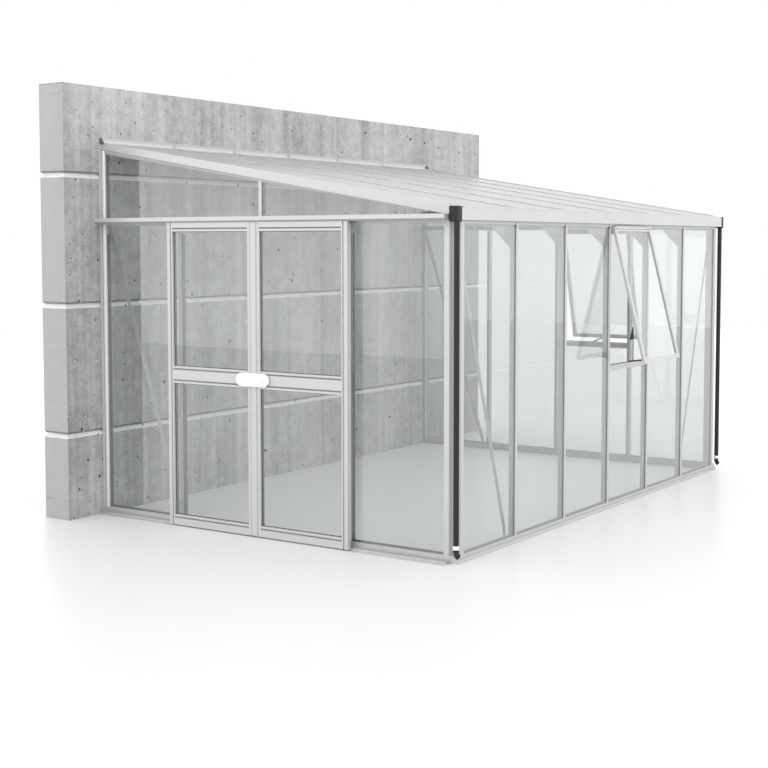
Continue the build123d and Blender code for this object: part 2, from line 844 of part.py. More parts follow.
# Head track: a channel for the rollers with a slot below, and a flange on the transom
channel_inner = track_channel - track_depth
lip_low = track_base + track_wall
lip_high = track_top - track_wall
slot_front = -leaf_axis - track_slot / 2
slot_back = -leaf_axis + track_slot / 2
track_length = frame_depth - track_start
with BuildPart() as door_head_track:
    with BuildSketch(bar_plane((near_x, eaves_y + track_start, 0), along_y, into_near)):
        with BuildLine():
            Polyline(
                (track_base, -track_depth),
                (track_base, slot_front),
                (lip_low, slot_front),
                (lip_low, -track_depth + track_wall),
                (lip_high, -track_depth + track_wall),
                (lip_high, channel_inner - track_wall),
                (lip_low, channel_inner - track_wall),
                (lip_low, slot_back),
                (track_base, slot_back),
                (track_base, channel_inner),
                (lip_high, channel_inner),
                (lip_high, -track_wall),
                (track_base, -track_wall),
                (track_base, 0),
                (track_top, 0),
                (track_top, -track_depth),
                close=True,
            )
        make_face()
    extrude(amount=track_length)
save(door_head_track, "door_head_track")

# Floor track: a base under the leaves, with ribs between them and the sill
rib_first = -floor_track_rib / 2
rib_last = rib_clearance + (leaf_thickness + floor_track_rib) / 2 - leaf_axis
rib_pitch = (rib_last - rib_first) / (floor_track_ribs - 1)
rib_mids = [rib_first + i * rib_pitch for i in range(floor_track_ribs)]
with BuildPart() as door_floor_track:
    with BuildSketch(bar_plane((near_x, eaves_y + track_start, 0), along_y, into_near)):
        with Locations((floor_track_base / 2, -floor_track_depth / 2)):
            Rectangle(floor_track_base, floor_track_depth)
        with Locations(*[(floor_track_height / 2, mid) for mid in rib_mids]):
            Rectangle(floor_track_height, floor_track_rib)
    extrude(amount=track_length)
save(door_floor_track, "door_floor_track")

# Door leaves: stiles, rails, panes and the rollers that hang in the head track
low_stile = leaf_profile(stile_width, (-1,), stile_bead)
high_stile = leaf_profile(stile_width, (1,), stile_bead)
top_rail_section = leaf_profile(top_rail, (-1,), rail_bead)
mid_rail_section = leaf_profile(mid_rail, (-1, 1), rail_bead)
bottom_rail_section = leaf_profile(bottom_rail, (1,), rail_bead)
rail_start = leaf_width / 2 - stile_width
rail_length = leaf_width - 2 * stile_width
pane_width = rail_length + 2 * (pane_slot - glass_inset)
lower_pane = (leaf_base + bottom_rail - pane_slot, mid_rail_z - mid_rail / 2 + pane_slot - glass_inset)
upper_pane = (mid_rail_z + mid_rail / 2 - pane_slot, leaf_top - top_rail + pane_slot - glass_inset)
roller_z = lip_low + roller_lift + roller_radius
leaf_shift = (leaf_width + leaf_gap) / 2
for leaf, mid_y in (("wall_leaf", door_mid + leaf_shift), ("corner_leaf", door_mid - leaf_shift)):
    with BuildPart() as stiles:
        with BuildSketch(
            bar_plane((leaf_x, mid_y - (leaf_width - stile_width) / 2, leaf_base), up, into_near)
        ):
            add(low_stile)
        with BuildSketch(
            bar_plane((leaf_x, mid_y + (leaf_width - stile_width) / 2, leaf_base), up, into_near)
        ):
            add(high_stile)
        extrude(amount=leaf_height)
    save(stiles, f"{leaf}_stiles")
    with BuildPart() as rails:
        for section, z in (
            (bottom_rail_section, leaf_base + bottom_rail / 2),
            (mid_rail_section, mid_rail_z),
            (top_rail_section, leaf_top - top_rail / 2),
        ):
            with BuildSketch(bar_plane((leaf_x, mid_y - rail_start, z), along_y, into_near)):
                add(section)
        extrude(amount=rail_length)
    save(rails, f"{leaf}_rails")
    with BuildPart() as panes:
        with BuildSketch(Plane.YZ.offset(leaf_x)):
            for low, high in (lower_pane, upper_pane):
                with Locations((mid_y, (low + high) / 2)):
                    Rectangle(pane_width, high - low)
        extrude(amount=glass_thickness / 2, both=True)
    save(panes, f"{leaf}_glass")
    with BuildPart() as rollers:
        roller_mids = [mid_y - leaf_width / 2 + hanger_inset, mid_y + leaf_width / 2 - hanger_inset]
        with BuildSketch(Plane.YZ.offset(leaf_x)):
            for y in roller_mids:
                with Locations((y, (leaf_top + roller_z) / 2)):
                    Rectangle(hanger_width, roller_z - leaf_top)
        extrude(amount=hanger_thickness / 2, both=True)
        with BuildSketch(Plane.XY.offset(leaf_top)):
            for y in roller_mids:
                with Locations((leaf_x, y)):
                    Rectangle(leaf_thickness / 2, hanger_width)
        extrude(amount=hanger_thickness)
        with BuildSketch(Plane.YZ.offset(leaf_x)):
            with Locations(*[(y, roller_z) for y in roller_mids]):
                Circle(axle_radius)
        extrude(amount=hanger_thickness / 2 + roller_gap + roller_width, both=True)
        for offset in (hanger_thickness / 2 + roller_gap, -hanger_thickness / 2 - roller_gap - roller_width):
            with BuildSketch(Plane.YZ.offset(leaf_x + offset)):
                with Locations(*[(y, roller_z) for y in roller_mids]):
                    Circle(roller_radius)
            extrude(amount=roller_width)
    save(rollers, f"{leaf}_rollers")

# Door handle: a long plate over both meeting stiles, fixed to the corner leaf alone
handle_face = leaf_x - leaf_thickness / 2
with BuildPart() as door_handle:
    with BuildSketch(Plane.YZ.offset(handle_face - handle_clearance - handle_thickness)):
        with Locations((door_mid, mid_rail_z)):
            SlotOverall(handle_length, handle_height)
    extrude(amount=handle_thickness)
    fillet(door_handle.faces().sort_by(Axis.X)[0].edges(), radius=handle_round)
    with BuildSketch(Plane.YZ.offset(handle_face - handle_clearance)):
        with Locations((door_mid - handle_length / 4, mid_rail_z)):
            Rectangle(handle_length / 3, handle_height / 2)
    extrude(amount=handle_clearance)
save(door_handle, "door_handle")
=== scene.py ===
import json
import math

import bmesh
import bpy
from mathutils import Matrix, Vector


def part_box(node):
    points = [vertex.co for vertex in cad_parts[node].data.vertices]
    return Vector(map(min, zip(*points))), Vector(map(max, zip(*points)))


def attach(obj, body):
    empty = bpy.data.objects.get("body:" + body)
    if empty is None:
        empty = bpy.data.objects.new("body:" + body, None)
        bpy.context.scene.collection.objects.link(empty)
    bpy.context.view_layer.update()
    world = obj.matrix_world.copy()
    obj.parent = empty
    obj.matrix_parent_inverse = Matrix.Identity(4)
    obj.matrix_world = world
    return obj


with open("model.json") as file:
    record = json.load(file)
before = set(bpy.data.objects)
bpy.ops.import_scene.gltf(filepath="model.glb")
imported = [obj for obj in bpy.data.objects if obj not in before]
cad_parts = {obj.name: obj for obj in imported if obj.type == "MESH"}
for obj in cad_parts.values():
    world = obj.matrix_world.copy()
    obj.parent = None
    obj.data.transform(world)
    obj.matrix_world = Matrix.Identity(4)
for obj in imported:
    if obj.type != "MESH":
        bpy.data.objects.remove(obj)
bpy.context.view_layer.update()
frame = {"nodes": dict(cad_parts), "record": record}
print("frame loaded")

# sizes of the glazed frame that the details follow, in metres
house = {
    "bayPitch": 0.735,
    "bayCount": 6,
    "firstBar": 0.058,
    "gablePitch": 0.755,
    "firstGableBar": 0.085,
    "roofAngle": 9.26,
}

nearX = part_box("near_corner_post")[0].x
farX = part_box("far_corner_post")[1].x
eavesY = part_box("near_corner_post")[0].y
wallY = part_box("near_wall_post")[1].y
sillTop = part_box("near_corner_post")[0].z
roofSlope = math.tan(math.radians(house["roofAngle"]))


def barX(index):
    return nearX + house["firstBar"] + index * house["bayPitch"]


def gableY(index):
    return eavesY + house["firstGableBar"] + index * house["gablePitch"]


class Wire:
    # a shader socket that can be written as a number in a formula
    def __init__(self, tree, socket):
        self.tree = tree
        self.socket = socket

    def math(self, operation, first, second, clamp=False):
        node = self.tree.nodes.new("ShaderNodeMath")
        node.operation = operation
        node.use_clamp = clamp
        for slot, value in zip(node.inputs, (first, second)):
            if isinstance(value, Wire):
                self.tree.links.new(value.socket, slot)
            else:
                slot.default_value = value
        return Wire(self.tree, node.outputs[0])

    def __add__(self, other):
        return self.math("ADD", self, other)

    def __radd__(self, other):
        return self.math("ADD", other, self)

    def __sub__(self, other):
        return self.math("SUBTRACT", self, other)

    def __rsub__(self, other):
        return self.math("SUBTRACT", other, self)

    def __mul__(self, other):
        return self.math("MULTIPLY", self, other)

    def __pow__(self, other):
        return self.math("POWER", self, other)

    def within(self, low, high):
        # 0 at low, 1 at high, held between them
        return self.math("MULTIPLY", self - low, 1 / (high - low), clamp=True)


class Finish:
    # one material and its nodes
    def __init__(self, name):
        self.material = bpy.data.materials.new(name)
        self.material.use_nodes = True
        self.tree = self.material.node_tree
        self.tree.nodes.clear()
        self.place = self.node("ShaderNodeTexCoord", output="Object")

    def node(self, kind, settings=None, values=None, output=0):
        made = self.tree.nodes.new(kind)
        for name, value in (settings or {}).items():
            setattr(made, name, value)
        for name, value in (values or {}).items():
            if isinstance(value, Wire):
                self.tree.links.new(value.socket, made.inputs[name])
            else:
                made.inputs[name].default_value = value
        return Wire(self.tree, made.outputs[output])

    def axes(self):
        parts = self.node("ShaderNodeSeparateXYZ", values={"Vector": self.place})
        return [Wire(self.tree, socket) for socket in parts.socket.node.outputs]

    def stretched(self, scale):
        return self.node("ShaderNodeMapping", values={"Vector": self.place, "Scale": scale})

    def noise(self, place, scale, detail=3.0, roughness=0.5):
        return self.node(
            "ShaderNodeTexNoise",
            values={"Vector": place, "Scale": scale, "Detail": detail, "Roughness": roughness},
        )

    def blend(self, factor, first, second):
        return self.node("ShaderNodeMix", {"data_type": "RGBA"}, {0: factor, 6: first, 7: second}, output=2)

    def bump(self, height, strength, distance):
        return self.node(
            "ShaderNodeBump", values={"Height": height, "Strength": strength, "Distance": distance}
        )

    def shader(self, **values):
        names = {
            "colour": "Base Color",
            "metal": "Metallic",
            "rough": "Roughness",
            "normal": "Normal",
            "shine": "Specular IOR Level",
            "coat": "Coat Weight",
        }
        return self.node("ShaderNodeBsdfPrincipled", values={names[k]: v for k, v in values.items()})

    def done(self, surface):
        end = self.tree.nodes.new("ShaderNodeOutputMaterial")
        self.tree.links.new(surface.socket, end.inputs["Surface"])
        return self.material


def grey(value):
    return (value, value, value, 1.0)


# cast concrete: clouds, upright bands from the formwork, and open air holes with painted shade in them and a
# painted highlight on one side of each rim; painted highlight and painted shade along the joints
concreteLook = {
    "dark": grey(0.25),
    "light": grey(0.56),
    "toneRange": (1.15, 1.95),
    "smoothEnd": grey(0.36),
    "faceDepth": (0.004, 0.001),
    "cloudScale": 1.6,
    "bandScale": (6.0, 6.0, 0.25),
    "runScale": (24.0, 24.0, 1.4),
    "mottleScale": 12.0,
    "grainScale": 85.0,
    "raggedScale": 30.0,
    # shares of the clouds, bands, runs, mottle and grain in the tone
    "toneShares": (0.8, 0.9, 0.35, 0.7, 0.35),
    "smoothShare": 0.8,
    "smoothCover": 1.1,
    "rough": 0.78,
    "roughGrain": 0.2,
    "shine": 0.3,
    "grainHeight": 0.12,
    "mottleHeight": 0.2,
    "bump": (0.6, 0.008),
    # each kind of hole: cells in a metre, share of the cells that have one, reach in its cell
    "holes": [(2.9, 0.9, 0.06), (5.2, 0.7, 0.072), (11.0, 0.6, 0.09), (21.0, 0.5, 0.11)],
    "holeShift": (3.7, 1.3),
    "holeEdge": 0.25,
    "ragged": 1.8,
    "holeShadeTone": grey(0.03),
    "holeShadeCover": 0.92,
    "rimHighlightShift": 0.009,
    "rimHighlightTone": grey(0.66),
    "rimHighlightCover": 0.5,
    "firstJoint": 0.635,
    "jointPitch": 0.963,
    "jointCount": 3,
    "jointWave": 0.012,
    # soft lower and upper edges of the painted highlight and painted shade bands along a joint, measured from
    # its middle
    "jointHighlightBand": ((-0.030, -0.024), (0.008, 0.003)),
    "jointHighlightTone": grey(0.74),
    "jointHighlightCover": 0.75,
    "jointShadeBand": ((0.005, 0.009), (0.025, 0.019)),
    "jointShadeTone": grey(0.12),
    "jointShadeCover": 0.6,
}
slabLow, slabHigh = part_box("backing_wall")


def makeConcrete():
    look = concreteLook
    finish = Finish("castConcrete")
    x, y, z = finish.axes()
    clouds = finish.noise(finish.place, look["cloudScale"], 6.0, 0.65)
    bands = finish.noise(finish.stretched(look["bandScale"]), 1.0, 2.0, 0.5)
    runs = finish.noise(finish.stretched(look["runScale"]), 1.0, 2.0, 0.5)
    mottle = finish.noise(finish.place, look["mottleScale"], 4.0, 0.65)
    grain = finish.noise(finish.place, look["grainScale"], 2.0, 0.6)
    warp = finish.noise(finish.place, look["raggedScale"], 3.0, 0.6)
    flat = finish.node("ShaderNodeCombineXYZ", values={0: x, 1: z})

    def moved(place, across, up):
        return finish.node(
            "ShaderNodeMapping", values={"Vector": place, "Location": (across, up, 0.0)}
        )

    def spots(scale, share, reach, place):
        cells = finish.node(
            "ShaderNodeTexVoronoi",
            {"feature": "F1", "voronoi_dimensions": "2D"},
            {"Vector": place, "Scale": scale},
        )
        distance = Wire(finish.tree, cells.socket.node.outputs["Distance"])
        dice = Wire(finish.tree, cells.socket.node.outputs["Color"])
        radius = dice.within(1 - share, 1.0) * reach
        ragged = distance + (warp - 0.5) * (reach * look["ragged"])
        return (radius - ragged).within(0.0, reach * look["holeEdge"])

    # each hole has a painted highlight on one side of its rim
    pits, rimHighlights = 0, 0
    for count, hole in enumerate(look["holes"]):
        place = moved(flat, look["holeShift"][0] * count, look["holeShift"][1] * count)
        aside = look["rimHighlightShift"] if count % 2 else -look["rimHighlightShift"]
        pits = spots(*hole, place) + pits
        rimHighlights = spots(*hole, moved(place, aside, look["rimHighlightShift"])) + rimHighlights

    # the ends are smoother, and the top has no holes
    deep, shallow = look["faceDepth"]
    nearEnd = x.within(slabLow.x + deep, slabLow.x + shallow)
    farEnd = x.within(slabHigh.x - deep, slabHigh.x - shallow)
    topFace = z.within(slabHigh.z - deep, slabHigh.z - shallow)
    body = 1 - (nearEnd + farEnd).within(0.0, 1.0) * look["smoothShare"]
    sides = body * (1 - topFace)
    pits = pits.within(0.0, 1.0) * sides
    rimHighlights = rimHighlights.within(0.0, 1.0) * sides

    # along each joint a painted highlight on the lower flank, which faces up, and painted shade over it on
    # the upper flank, which faces down
    pale, dark = 0, 0
    wavy = z + (mottle - 0.5) * look["jointWave"]
    for index in range(look["jointCount"]):
        height = wavy - (look["firstJoint"] + index * look["jointPitch"])
        lower, upper = look["jointHighlightBand"]
        pale = height.within(*lower) * height.within(*upper) + pale
        lower, upper = look["jointShadeBand"]
        dark = height.within(*lower) * height.within(*upper) + dark

    tone = 0
    for layer, share in zip((clouds, bands, runs, mottle, grain), look["toneShares"]):
        tone = layer * share + tone
    colour = finish.blend(tone.within(*look["toneRange"]), look["dark"], look["light"])
    colour = finish.blend((1 - body) * look["smoothCover"], colour, look["smoothEnd"])
    # painted highlight and painted shade along the joints
    colour = finish.blend(pale * look["jointHighlightCover"], colour, look["jointHighlightTone"])
    colour = finish.blend(dark * look["jointShadeCover"], colour, look["jointShadeTone"])
    # painted highlight on the rims of the holes, then painted shade in the holes
    colour = finish.blend(rimHighlights * look["rimHighlightCover"], colour, look["rimHighlightTone"])
    colour = finish.blend(pits * look["holeShadeCover"], colour, look["holeShadeTone"])
    relief = grain * look["grainHeight"] + mottle * look["mottleHeight"] - pits
    return finish.done(finish.shader(
        colour=colour,
        rough=look["rough"] + grain * look["roughGrain"],
        shine=look["shine"],
        normal=finish.bump(relief, *look["bump"]),
    ))


# satin aluminium with drawn lines along the bars and a faint cloud; painted shade behind the panes, deeper on
# the gable bars and lifted on a band of the beam, and painted shade on the flashing's upright leg
aluminiumLook = {
    "metal": 0.35,
    "acrossScale": 260.0,
    "alongScale": 3.0,
    "cloudScale": 3.5,
    "drawnShare": 0.35,
    "shadeRange": (0.25, 0.75),
    "shadeTone": 0.94,
    "roughSpread": 0.1,
    "bump": (0.05, 0.0005),
    "paneDepth": 0.009,
    "softEdge": 0.002,
    "roofBase": 2.285,
    "roofEdge": 0.004,
    "notch": 0.048,
    # heights of the band on the beam under the gutter where the painted shade is mostly lifted, standing in
    # for light from the roof
    "beamFoot": (2.11, 2.13),
    "beamHead": (2.205, 2.2),
    "beamLight": 0.9,
    "gableDepth": (0.0405, 0.04),
    "gableShade": 0.45,
    # painted shade on the flashing's upright leg on the wall
    "legDepth": (0.009, 0.007),
    "legFoot": (2.818, 2.82),
}


def makeAluminium(name, tone, rough, along, behind=1.0, leg=1.0):
    look = aluminiumLook
    finish = Finish(name)
    x, y, z = finish.axes()
    stretch = [look["acrossScale"]] * 3
    stretch[along] = look["alongScale"]
    drawn = finish.noise(finish.stretched(tuple(stretch)), 1.0, 2.0, 0.5)
    cloud = finish.noise(finish.place, look["cloudScale"], 3.0, 0.5)
    shade = drawn * look["drawnShare"] + cloud * (1 - look["drawnShare"])
    colour = finish.blend(shade.within(*look["shadeRange"]), grey(tone * look["shadeTone"]), grey(tone))

    # painted shade on what lies behind the panes
    soft = look["softEdge"]
    near = nearX + look["paneDepth"]
    far = farX - look["paneDepth"]
    front = eavesY + look["paneDepth"]
    roof = (y - eavesY) * roofSlope + look["roofBase"] - z
    shadedBehindPanes = (
        x.within(near, near + soft)
        * x.within(far, far - soft)
        * y.within(front, front + soft)
        * roof.within(0.0, look["roofEdge"])
    )
    # the notched corner posts are in the open and get no painted shade
    notch = look["notch"]
    nearCorner = x.within(near + notch, near + notch - soft)
    farCorner = x.within(far - notch, far - notch + soft)
    atEaves = y.within(front + notch, front + notch - soft)
    shadedBehindPanes = shadedBehindPanes * (1 - (nearCorner + farCorner) * atEaves)
    shadedBehindPanes = shadedBehindPanes * (1 - z.within(*look["beamFoot"]) * z.within(*look["beamHead"]) * look["beamLight"])
    # painted shade behind the panes, deeper on the gable bars
    colour = finish.blend(shadedBehindPanes, colour, grey(tone * behind))
    deep, shallow = look["gableDepth"]
    gableBarShade = shadedBehindPanes * x.within(near + deep, near + shallow)
    colour = finish.blend(gableBarShade, colour, grey(tone * behind * look["gableShade"]))
    # painted shade on the flashing's upright leg
    if leg < 1.0:
        deep, shallow = look["legDepth"]
        legShade = y.within(wallY - deep, wallY - shallow) * z.within(*look["legFoot"])
        colour = finish.blend(legShade, colour, grey(tone * leg))
    return finish.done(finish.shader(
        colour=colour,
        metal=look["metal"],
        rough=rough - look["roughSpread"] / 2 + cloud * look["roughSpread"],
        normal=finish.bump(drawn, *look["bump"]),
    ))


# clear glass: see-through, with a mirror share that grows towards a grazing view, the same on both faces
glassLook = {
    "growth": 5,
    "dustAndPatchScale": 2.0,
    "patchShares": (0.8, 0.4),
    "dustRough": 0.02,
    # painted shade: a patchy dark sheet that grows towards the foot of a pane
    "footShadeTone": grey(0.22),
    "footShadeHeights": (1.75, 0.9),
    # a painted pale sheen on the roof, patchy, that grows towards the wall
    "nearWallSheenTone": grey(0.5),
    "nearWallSheenFromWall": (0.9, 0.15),
}


def makeGlass(name, tint, mirror, rough, sheen=0.97, footShade=0.0, nearWallSheen=0.0):
    look = glassLook
    finish = Finish(name)
    x, y, z = finish.axes()
    facing = finish.node("ShaderNodeLayerWeight", values={"Blend": 0.5}, output="Facing")
    share = (facing ** look["growth"]) * (1 - mirror) + mirror
    dustAndPatchNoise = finish.noise(finish.place, look["dustAndPatchScale"], 4.0, 0.6)
    least, spread = look["patchShares"]
    patchy = least + dustAndPatchNoise * spread

    def mixed(factor, first, second):
        return finish.node("ShaderNodeMixShader", values={0: factor, 1: first, 2: second})

    surface = finish.node("ShaderNodeBsdfTransparent", values={"Color": tint})
    # painted shade towards the foot of the pane
    if footShade:
        footShadeSheet = finish.node("ShaderNodeBsdfDiffuse", values={"Color": look["footShadeTone"]})
        surface = mixed(z.within(*look["footShadeHeights"]) * patchy * footShade, surface, footShadeSheet)
    gloss = finish.node(
        "ShaderNodeBsdfGlossy",
        values={"Color": grey(sheen), "Roughness": rough + dustAndPatchNoise * look["dustRough"]},
    )
    surface = mixed(share, surface, gloss)
    # painted pale sheen on the roof near the wall
    if nearWallSheen:
        nearWallSheenSheet = finish.node("ShaderNodeBsdfDiffuse", values={"Color": look["nearWallSheenTone"]})
        start, end = look["nearWallSheenFromWall"]
        surface = mixed(y.within(wallY - start, wallY - end) * patchy * nearWallSheen, surface, nearWallSheenSheet)
    return finish.done(surface)


# moulded or painted surfaces: one tone with a fine skin
skinLook = {"cloudScale": 4.0, "shadeTone": 0.9, "roughSpread": 0.12, "bump": 0.12}


def makeSkin(name, tone, rough, grainScale, grainDepth, coat=0.0, shine=0.5):
    look = skinLook
    finish = Finish(name)
    grain = finish.noise(finish.place, grainScale, 3.0, 0.6)
    cloud = finish.noise(finish.place, look["cloudScale"], 2.0, 0.5)
    return finish.done(finish.shader(
        colour=finish.blend(cloud, grey(tone * look["shadeTone"]), grey(tone)),
        rough=rough - look["roughSpread"] / 2 + grain * look["roughSpread"],
        coat=coat,
        shine=shine,
        normal=finish.bump(grain, look["bump"], grainDepth),
    ))


clearTint = (0.905, 0.916, 0.918, 1.0)
roofTint = (0.99, 0.995, 0.995, 1.0)


finishes = {
    "concrete": makeConcrete(),
    # the frame gets painted shade behind the panes
    "frame_aluminium": makeAluminium("satinFrame", 0.53, 0.4, 2, 0.8),
    # the flashing gets painted shade on its upright leg
    "flashing_aluminium": makeAluminium("satinFlashing", 0.58, 0.36, 0, leg=0.8),
    "gutter_white": makeSkin("paleGutter", 0.55, 0.4, 300.0, 0.0002),
    "black_plastic": makeSkin("blackPlastic", 0.012, 0.5, 500.0, 0.0003, shine=0.35),
    "white_plastic": makeSkin("whitePlastic", 0.88, 0.25, 300.0, 0.0002, coat=0.3),
    "dark_metal": makeSkin("darkMetal", 0.03, 0.4, 400.0, 0.0002),
    "roller_nylon": makeSkin("rollerNylon", 0.12, 0.5, 300.0, 0.0002),
    "wall_glass": makeGlass("wallPane", clearTint, 0.082, 0.0),
    # the roof pane has a painted pale sheen near the wall
    "roof_glass": makeGlass("roofPane", roofTint, 0.06, 0.3, 0.55, nearWallSheen=0.45),
}
rubber = makeSkin("glazingRubber", 0.09, 0.6, 400.0, 0.0002)
screwSteel = makeAluminium("screwSteel", 0.5, 0.3, 0)
brushHair = makeSkin("brushHair", 0.05, 0.7, 600.0, 0.0002)
paleSeal = makeSkin("paleSeal", 0.42, 0.6, 400.0, 0.0002)
greySeal = makeSkin("greySeal", 0.24, 0.6, 400.0, 0.0002)
# grey for the painted shade on the verges' lips
lipShade = makeSkin("lipShade", 0.36, 0.5, 300.0, 0.0002)
postCover = makeAluminium("postCover", 0.8, 0.35, 2)
jointCover = makeAluminium("jointCover", 0.4, 0.45, 0)
# a pane with painted shade towards its foot
footShadedPane = makeGlass("footShadedPane", clearTint, 0.082, 0.0, footShade=0.06)

slotOf = {s["node"]: s["material_slot"] for s in frame["record"]["subparts"]}
for nodeName, node in frame["nodes"].items():
    node.data.materials.clear()
    node.data.materials.append(finishes[slotOf[nodeName]])
# the far gable's panes get painted shade towards their foot
for nodeName in ("far_gable_glass", "far_vent_glass"):
    frame["nodes"][nodeName].data.materials[0] = footShadedPane
print("materials done")


def meshOf(name, points, faces=(), edges=()):
    mesh = bpy.data.meshes.new(name)
    mesh.from_pydata([tuple(p) for p in points], list(edges), [tuple(f) for f in faces])
    mesh.update()
    thing = bpy.data.objects.new(name, mesh)
    bpy.context.scene.collection.objects.link(thing)
    return thing


# a node group whose inputs are the sizes of what it makes
def newTree(name, sizes):
    tree = bpy.data.node_groups.new(name, "GeometryNodeTree")
    tree.interface.new_socket("Geometry", in_out="INPUT", socket_type="NodeSocketGeometry")
    for size, value in sizes.items():
        kind = "NodeSocketInt" if isinstance(value, int) else "NodeSocketFloat"
        tree.interface.new_socket(size, in_out="INPUT", socket_type=kind)
    tree.interface.new_socket("Material", in_out="INPUT", socket_type="NodeSocketMaterial")
    tree.interface.new_socket("Geometry", in_out="OUTPUT", socket_type="NodeSocketGeometry")
    source = tree.nodes.new("NodeGroupInput")
    result = tree.nodes.new("NodeGroupOutput")

    def add(kind, settings=None, values=None):
        node = tree.nodes.new(kind)
        for key, value in (settings or {}).items():
            setattr(node, key, value)
        for key, value in (values or {}).items():
            if isinstance(value, bpy.types.NodeSocket):
                tree.links.new(value, node.inputs[key])
            else:
                node.inputs[key].default_value = value
        return node

    def finish(geometry):
        real = add("GeometryNodeRealizeInstances", values={"Geometry": geometry})
        dressed = add(
            "GeometryNodeSetMaterial",
            values={"Geometry": real.outputs[0], "Material": source.outputs["Material"]},
        )
        tree.links.new(dressed.outputs[0], result.inputs[0])
        return tree

    return add, finish, source


# runs a tree on a carrier mesh and leaves a plain mesh that rides on a body
def grow(name, carrier, tree, sizes, material, body):
    modifier = carrier.modifiers.new(name, "NODES")
    modifier.node_group = tree
    identifiers = {
        item.name: item.identifier for item in tree.interface.items_tree if item.in_out == "INPUT"
    }
    for size, value in sizes.items():
        modifier[identifiers[size]] = value
    modifier[identifiers["Material"]] = material
    evaluated = carrier.evaluated_get(bpy.context.evaluated_depsgraph_get())
    mesh = bpy.data.meshes.new_from_object(evaluated)
    carrier.modifiers.remove(modifier)
    bpy.data.objects.remove(carrier)
    mesh.name = name
    piece = bpy.data.objects.new(name, mesh)
    bpy.context.scene.collection.objects.link(piece)
    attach(piece, body)


# pan-head screws on points that carry the way they face
screwSizes = {"headRadius": 0.0055, "headHeight": 0.0028, "sides": 10}
screwCrown = 0.7


def makeScrewTree():
    add, finish, source = newTree("screwRows", screwSizes)
    crown = add("ShaderNodeMath", {"operation": "MULTIPLY"}, {
        0: source.outputs["headRadius"],
        1: screwCrown,
    })
    head = add("GeometryNodeMeshCone", {"fill_type": "TRIANGLE_FAN"}, {
        "Vertices": source.outputs["sides"],
        "Radius Top": crown.outputs[0],
        "Radius Bottom": source.outputs["headRadius"],
        "Depth": source.outputs["headHeight"],
    })
    aim = add("GeometryNodeInputNamedAttribute", {"data_type": "FLOAT_VECTOR"}, {"Name": "aim"})
    turn = add("FunctionNodeAlignEulerToVector", {"axis": "Z"}, {"Vector": aim.outputs[0]})
    rows = add("GeometryNodeInstanceOnPoints", values={
        "Points": source.outputs["Geometry"],
        "Instance": head.outputs[0],
        "Rotation": turn.outputs[0],
    })
    return finish(rows.outputs[0])


screwTree = makeScrewTree()


def screwRows(name, places, body, sizes=screwSizes):
    carrier = meshOf(name + "Points", [p for p, _ in places])
    aim = carrier.data.attributes.new("aim", "FLOAT_VECTOR", "POINT")
    for item, (_, direction) in zip(aim.data, places):
        item.vector = direction
    grow(name, carrier, screwTree, sizes, screwSteel, body)


towardDoor = (-1.0, 0.0, 0.0)
towardFar = (1.0, 0.0, 0.0)
towardEaves = (0.0, -1.0, 0.0)
towardWall = (0.0, 1.0, 0.0)
upward = (0.0, 0.0, 1.0)

# screws through the bars and the wall posts
frameScrewLook = {
    "eavesHeights": (0.12, 0.78, 1.45, 2.05),
    "nearHeights": (0.1, 2.12),
    "farHeights": (0.1, 1.1, 2.12),
    "wallHeights": (0.2, 0.75, 1.3, 1.85, 2.4),
    "fromWall": 0.022,
}
frameScrewPlaces = []
for index in range(1, house["bayCount"]):
    for height in frameScrewLook["eavesHeights"]:
        frameScrewPlaces.append(((barX(index), eavesY, height), towardEaves))
for index in (1, 3):
    for height in frameScrewLook["nearHeights"]:
        frameScrewPlaces.append(((nearX, gableY(index), height), towardDoor))
for index in (1, 2, 3):
    for height in frameScrewLook["farHeights"]:
        frameScrewPlaces.append(((farX, gableY(index), height), towardFar))
for height in frameScrewLook["wallHeights"]:
    y = wallY - frameScrewLook["fromWall"]
    frameScrewPlaces.append(((nearX, y, height), towardDoor))
    frameScrewPlaces.append(((farX, y, height), towardFar))
screwRows("frameScrews", frameScrewPlaces, "frame")

# smaller ones where the rails of the leaves meet their stiles
leafScrewLook = {"inset": 0.022, "heights": (0.045, 0.06, 1.09, 1.136, 2.165)}
leafScrewSizes = {"headRadius": 0.004, "headHeight": 0.002, "sides": 10}
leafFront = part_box("wall_leaf_rails")[0].x
for leafName in ("wall_leaf", "corner_leaf"):
    low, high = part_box(leafName + "_stiles")
    places = []
    for y in (low.y + leafScrewLook["inset"], high.y - leafScrewLook["inset"]):
        for height in leafScrewLook["heights"]:
            places.append(((leafFront, y, height), towardDoor))
    screwRows(leafName + "Screws", places, leafName, leafScrewSizes)
print("screws done")


# rubber strips that follow lines, with a flat section
stripSizes = {"width": 0.003, "height": 0.0025}


def makeStripTree():
    add, finish, source = newTree("rubberStrips", stripSizes)
    curve = add("GeometryNodeMeshToCurve", values={"Mesh": source.outputs["Geometry"]})
    section = add("GeometryNodeCurvePrimitiveQuadrilateral", values={
        "Width": source.outputs["width"],
        "Height": source.outputs["height"],
    })
    strip = add("GeometryNodeCurveToMesh", values={
        "Curve": curve.outputs[0],
        "Profile Curve": section.outputs[0],
        "Fill Caps": True,
    })
    return finish(strip.outputs[0])


stripTree = makeStripTree()


def strips(name, lines, material, body):
    points = [p for line in lines for p in line]
    edges = []
    count = 0
    for line in lines:
        edges += [(count + i, count + i + 1) for i in range(len(line) - 1)]
        count += len(line)
    carrier = meshOf(name + "Lines", points, edges=edges)
    grow(name, carrier, stripTree, stripSizes, material, body)


